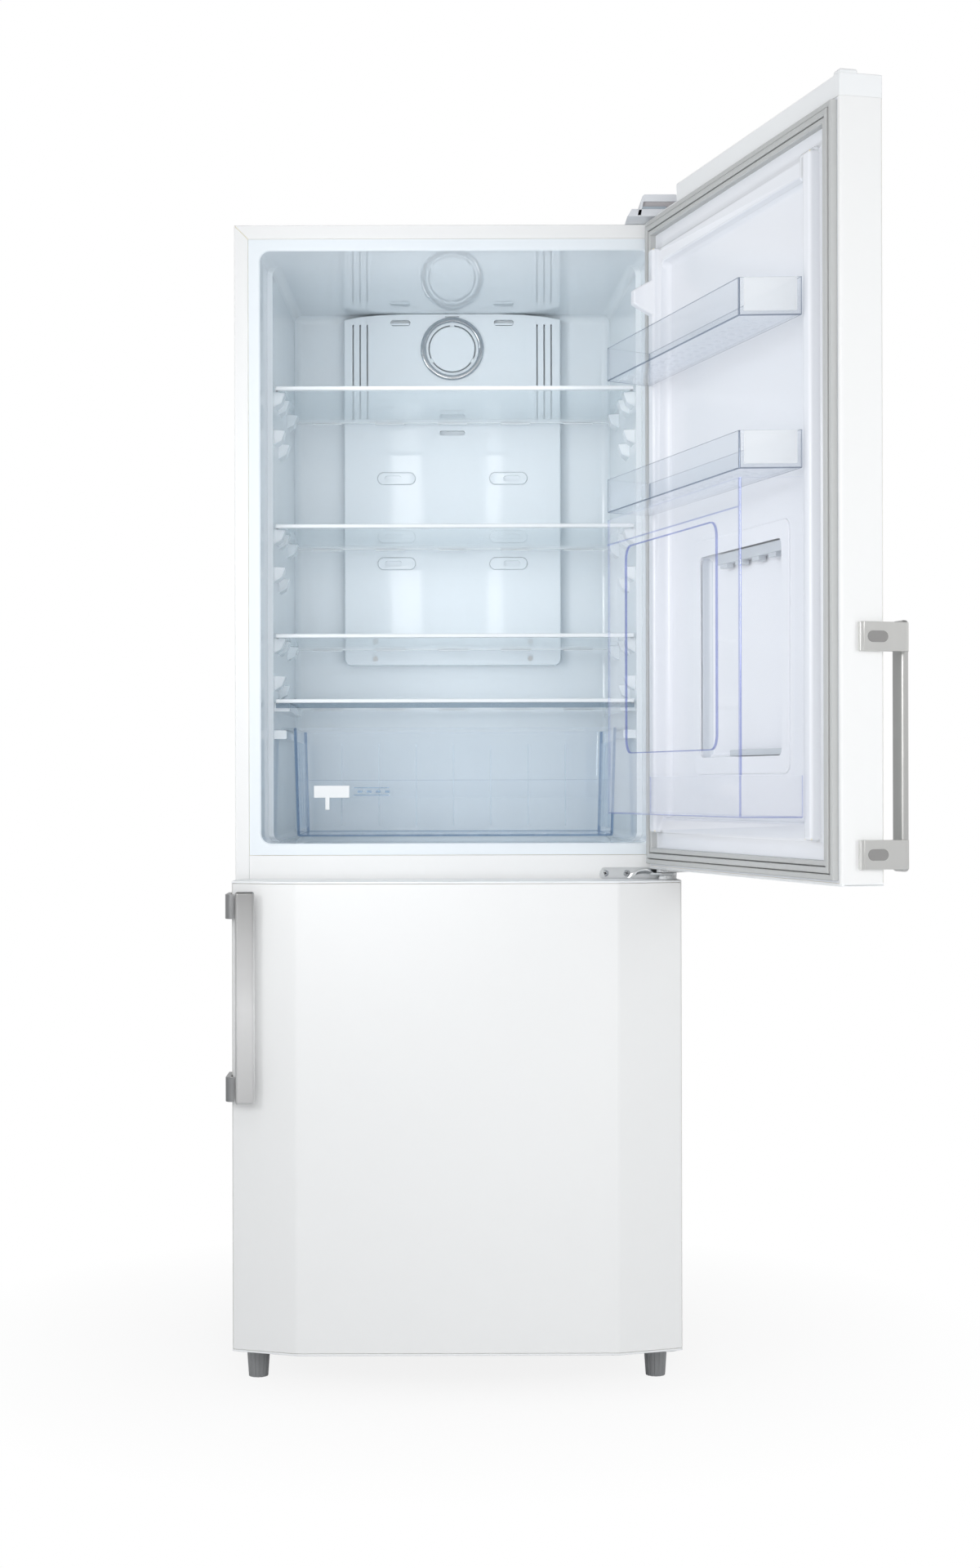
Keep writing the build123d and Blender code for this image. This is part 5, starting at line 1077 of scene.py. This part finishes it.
# Painted shade: the freezer brackets' metal is a darker copy of the satin metal.
low_bracket_painted_shade = moulded("low_bracket_painted_shade", (0.36, 0.365, 0.37), 0.34, 900.0, 0.12, 0.04, metal=1.0)
plug_grey = moulded("plug_grey", (0.25, 0.245, 0.24), 0.4, 500.0, 0.1, 0.04)
bar_x, bar_n, handle_long = (-342.0, -312.0), (-41.0, -30.0), 328.0
bracket_x, bracket_tall, bracket_n, bracket_in, edge_x = -357.6, 38.0, 31.2, 4.0, -350.2
plug_n, plug_long, plug_in, plug_low = 11.5, 7.0, 0.5, 23.0
bracket_line = [
    (edge_x, bracket_n), (bracket_x + 2, bracket_n), *arc((bracket_x + 2, bracket_n - 2), 2, 90, 180, 2),
    *arc((bracket_x + 10, bar_n[0] + 15), 10, 180, 270), (-344.0, bar_n[0] + 5), (-344.0, bar_n[0] + 13),
    *arc((bracket_x + 12, bar_n[0] + 20), 5, 270, 180), (edge_x, bar_n[0] + 31),
]


def painted_sheen_by_height(finish, stops):
    """Paints reflection and shade into a metal's tone by height; each stop is a height in metres and a tone.
    """
    tree = finish.node_tree
    colour = tree.nodes["Principled BSDF"].inputs["Base Color"]
    low, high = stops[0][0], stops[-1][0]
    height = node(tree, "SeparateXYZ", {0: node(tree, "TexCoord", {}).outputs["Object"]}).outputs["Z"]
    share = node(tree, "MapRange", {"Value": height, "From Min": low, "From Max": high})
    tones = node(tree, "ValToRGB", {0: share})
    for z, _ in stops[1:-1]:
        tones.color_ramp.elements.new((z - low) / (high - low))
    for stop, (_, tone) in zip(tones.color_ramp.elements, stops):
        stop.color = (tone, tone, tone, 1.0)
    both = {0: 1.0, 6: colour.links[0].from_socket, 7: tones}
    tree.links.new(node(tree, "Mix", both, data_type="RGBA", blend_type="MULTIPLY").outputs[2], colour)


def handle(prefix, z0, body, move, of_bar, of_arms):
    """A bar and its two brackets, with the bar's lower end at a height."""
    grip = bmesh.new()
    soft_block(grip, bar_x, deep(*bar_n), (z0, z0 + handle_long), 4.5, 5)
    settle(grip, prefix + "_handle_grip", [of_bar], body, [prefix + "_handle_bar"], move)
    arms = bmesh.new()
    for low in (z0 + bracket_in, z0 + handle_long - bracket_in - bracket_tall):
        made = around(plate(arms, [(x, door_y + n, low) for x, n in bracket_line], (0, 0, bracket_tall)))
        upright = set(that_run(made, 2, 0.1))
        rounded(arms, [e for e in made if e not in upright], 1.0, 2)
        back, zs = door_y + bracket_n, (low, low + bracket_tall)
        tail = block(arms, (bracket_x + 0.9, edge_x + 0.1), (back - 1, back + 2), zs)
        lip = block(arms, (bracket_x, edge_x), (back + 1.3, back + 4.8), zs)
        rounded(arms, around(tail) + around(lip), 0.4, 1)
    stands_for = [prefix + "_handle_brackets"]
    settle(arms, prefix + "_handle_arms", [of_arms], body, stands_for, move)
    plugs, rims = bmesh.new(), bmesh.new()
    for middle in (z0 + plug_low, z0 + handle_long - plug_low):
        for bm, radius, proud in ((rims, 9.0, 0.25), (plugs, 7.5, 0.58)):
            oval = []
            for k in range(24):
                a = 2 * math.pi * (k + 0.5) / 24
                n = plug_n + math.copysign(plug_long, math.cos(a)) + radius * math.cos(a)
                oval.append((bracket_x + plug_in, door_y + n, middle + radius * math.sin(a)))
            made = plate(bm, oval, (-plug_in - proud, 0, 0))
            soften(bm, made, lambda p: p.x < bracket_x, 0.24, 2)
    settle(rims, prefix + "_handle_plug_rims", [of_arms], body, [], move)
    settle(plugs, prefix + "_handle_plugs", [plug_grey], body, [], move)


# Painted reflection and shade: the freezer bar is brightest near its middle and darkest at its top.
painted_sheen_by_height(low_bar_painted_sheen, ((0.39, 0.72), (0.46, 0.86), (0.54, 1.0), (0.64, 0.76), (0.722, 0.5)))
handle("fridge", 771.0, "fridge_door", swing, bar_metal_painted_shade, satin_metal)
handle("freezer", 393.5, "freezer_door", None, low_bar_painted_sheen, low_bracket_painted_shade)

# ---------------------------------------------------------------- the door's bins
# Two shallow bins and a bottle bin of clear plastic, narrower at the front, with round corners
# and dimples in their floors. Their edges and corners are tinted darker as painted shade.

clear_plastic = clear("clear_plastic", (0.99, 0.992, 0.996), (0.9, 0.93, 0.97), 0.012, 0.05)
# Painted shade: the darker tint on the bins' edges and corners.
bin_edges = clear("bin_edges", (0.44, 0.48, 0.56), (0.32, 0.36, 0.43), 0.35, 0.1)
bin_ends = clear("bin_ends", (0.98, 0.985, 0.99), (0.9, 0.92, 0.94), 0.4, 0.1, mirror=0.1)
guard_plastic = clear("guard_plastic", (0.998, 0.998, 1.0), (0.95, 0.96, 0.99), 0.012, 0.05, mirror=0.3)
# Painted sheen: the lilac tint on the guard's edges and its window's edge.
guard_edges = clear("guard_edges", (0.68, 0.71, 0.9), (0.6, 0.64, 0.86), 0.2, 0.1)
bin_n, bin_back, bin_front, bin_t = (82.5, 162.0), 284.0, 258.0, 2.2
dimple_rows, dimple_pitch, dimple_half, dimple_reach = (104.0, 122.0, 140.0), 26.0, 4, bin_front - 30
bottle_z = (841.0, 897.0)


def tray(bm, low, high, end_index):
    """An open box that narrows towards its front, with painted shade on its edges and its own latch end."""
    for v in block(bm, about(0, bin_back), deep(*bin_n), (low, high)):
        if v.co.y > door_y + 100:
            v.co.x = math.copysign(bin_front, v.co.x)
    opened(bm, 2)
    tint(rounded(bm, that_run(bm.edges, 2, 20), 2.0, 2))
    tint(rounded(bm, where_ends(folds(bm, 1.0), lambda p: p.z < low + 0.5), 2.0, 2))
    bm.normal_update()
    end = [f for f in bm.faces if f.normal.x < -0.9 and f.calc_area() > 1000]
    bmesh.ops.inset_region(bm, faces=end, thickness=5.0, use_even_offset=True)
    tint(end, end_index)
    bmesh.ops.solidify(bm, geom=bm.faces[:], thickness=bin_t)
    bm.normal_update()
    tint([f for f in bm.faces if f.normal.z > 0.9 and f.calc_center_median().z > high - 0.5])


def dimples(bm, low):
    """Small raised squares on a bin's floor, every second row half a pitch further."""
    for row, n in enumerate(dimple_rows):
        for k in range(int(2 * dimple_reach / dimple_pitch) + 1):
            x = dimple_pitch * (k + row % 2 / 2) - dimple_reach
            if abs(x) <= bin_front - 24:
                xs, ys = about(x, dimple_half), about(door_y + n, dimple_half)
                soft_block(bm, xs, ys, (low - 1.4, low + 0.4), 0.7, 1, lambda p: p.z < low - 1)


for name, low in (("upper_door_bin", 1501.4), ("middle_door_bin", 1300.4)):
    door_bin = bmesh.new()
    tray(door_bin, low, low + 50.6, 2)
    dimples(door_bin, low)
    bin_finishes = [clear_plastic, bin_edges, bin_ends]
    settle(door_bin, name + "_tray", bin_finishes, name + "_body", [name], swing)

bottle = bmesh.new()
tray(bottle, *bottle_z, 0)
guard_finishes = [guard_plastic, guard_edges]
settle(bottle, "bottle_tray", guard_finishes, "bottle_bin_body", ["bottle_bin"], swing)

# ---------------------------------------------------------------- the bottle guard
# A tall clear wall that clips into the bottle bin, with a large round-cornered window in its
# front. Its edges carry a painted lilac sheen.

guard_z, bar_z, front_y = (bottle_z[1] + 0.3, 1289.0), 1250.0, door_y + bin_n[1]
window_half, window_z, window_r, window_lip = 177.5, (933.0, 1240.0), 20.0, 1.4
window_y = about(front_y, 12)

guard = bmesh.new()
plan = [(-bin_back, bin_n[0]), (-bin_front, bin_n[1]), (bin_front, bin_n[1]), (bin_back, bin_n[0])]
wall(guard, plan, guard_z, 1)
tint(rounded(guard, [e for e in guard.edges if not e.is_boundary], 3.0))
bmesh.ops.solidify(guard, geom=guard.faces[:], thickness=bin_t)
guard.normal_update()
tint([f for f in guard.faces if abs(f.normal.z) > 0.9])
bar = block(guard, about(0, bin_front - 3), (front_y - 1.0, front_y + 1.2), (bar_z, bar_z + 1.6))
tint(faces_at(bar))
bottle_guard = settle(
    guard, "bottle_guard_wall", guard_finishes, "bottle_bin_body", ["bottle_guard"], swing)
cut_through(bottle_guard, window_half, window_y, window_z, window_r, 6)
edge = bmesh.new()
edge_z = (window_z[0] - window_lip, window_z[1] + window_lip)
outer = block(edge, about(0, window_half + window_lip), (front_y - bin_t - 0.4, front_y + 0.6), edge_z)
rounded(edge, that_run(around(outer), 1, 1), window_r + 1, 6)
window_edge = settle(
    edge, "bottle_guard_window_edge", [guard_edges], "bottle_bin_body", [], swing)
cut_through(window_edge, window_half, window_y, window_z, window_r, 6)

# ---------------------------------------------------------------- the freezer drawers
# Three clear plastic drawers behind the lower door. They keep their drawn shapes.

for name in ("lower_drawer", "middle_drawer", "upper_drawer"):
    dress(name, clear_plastic)

# ---------------------------------------------------------------- the scene's size
low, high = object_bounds()
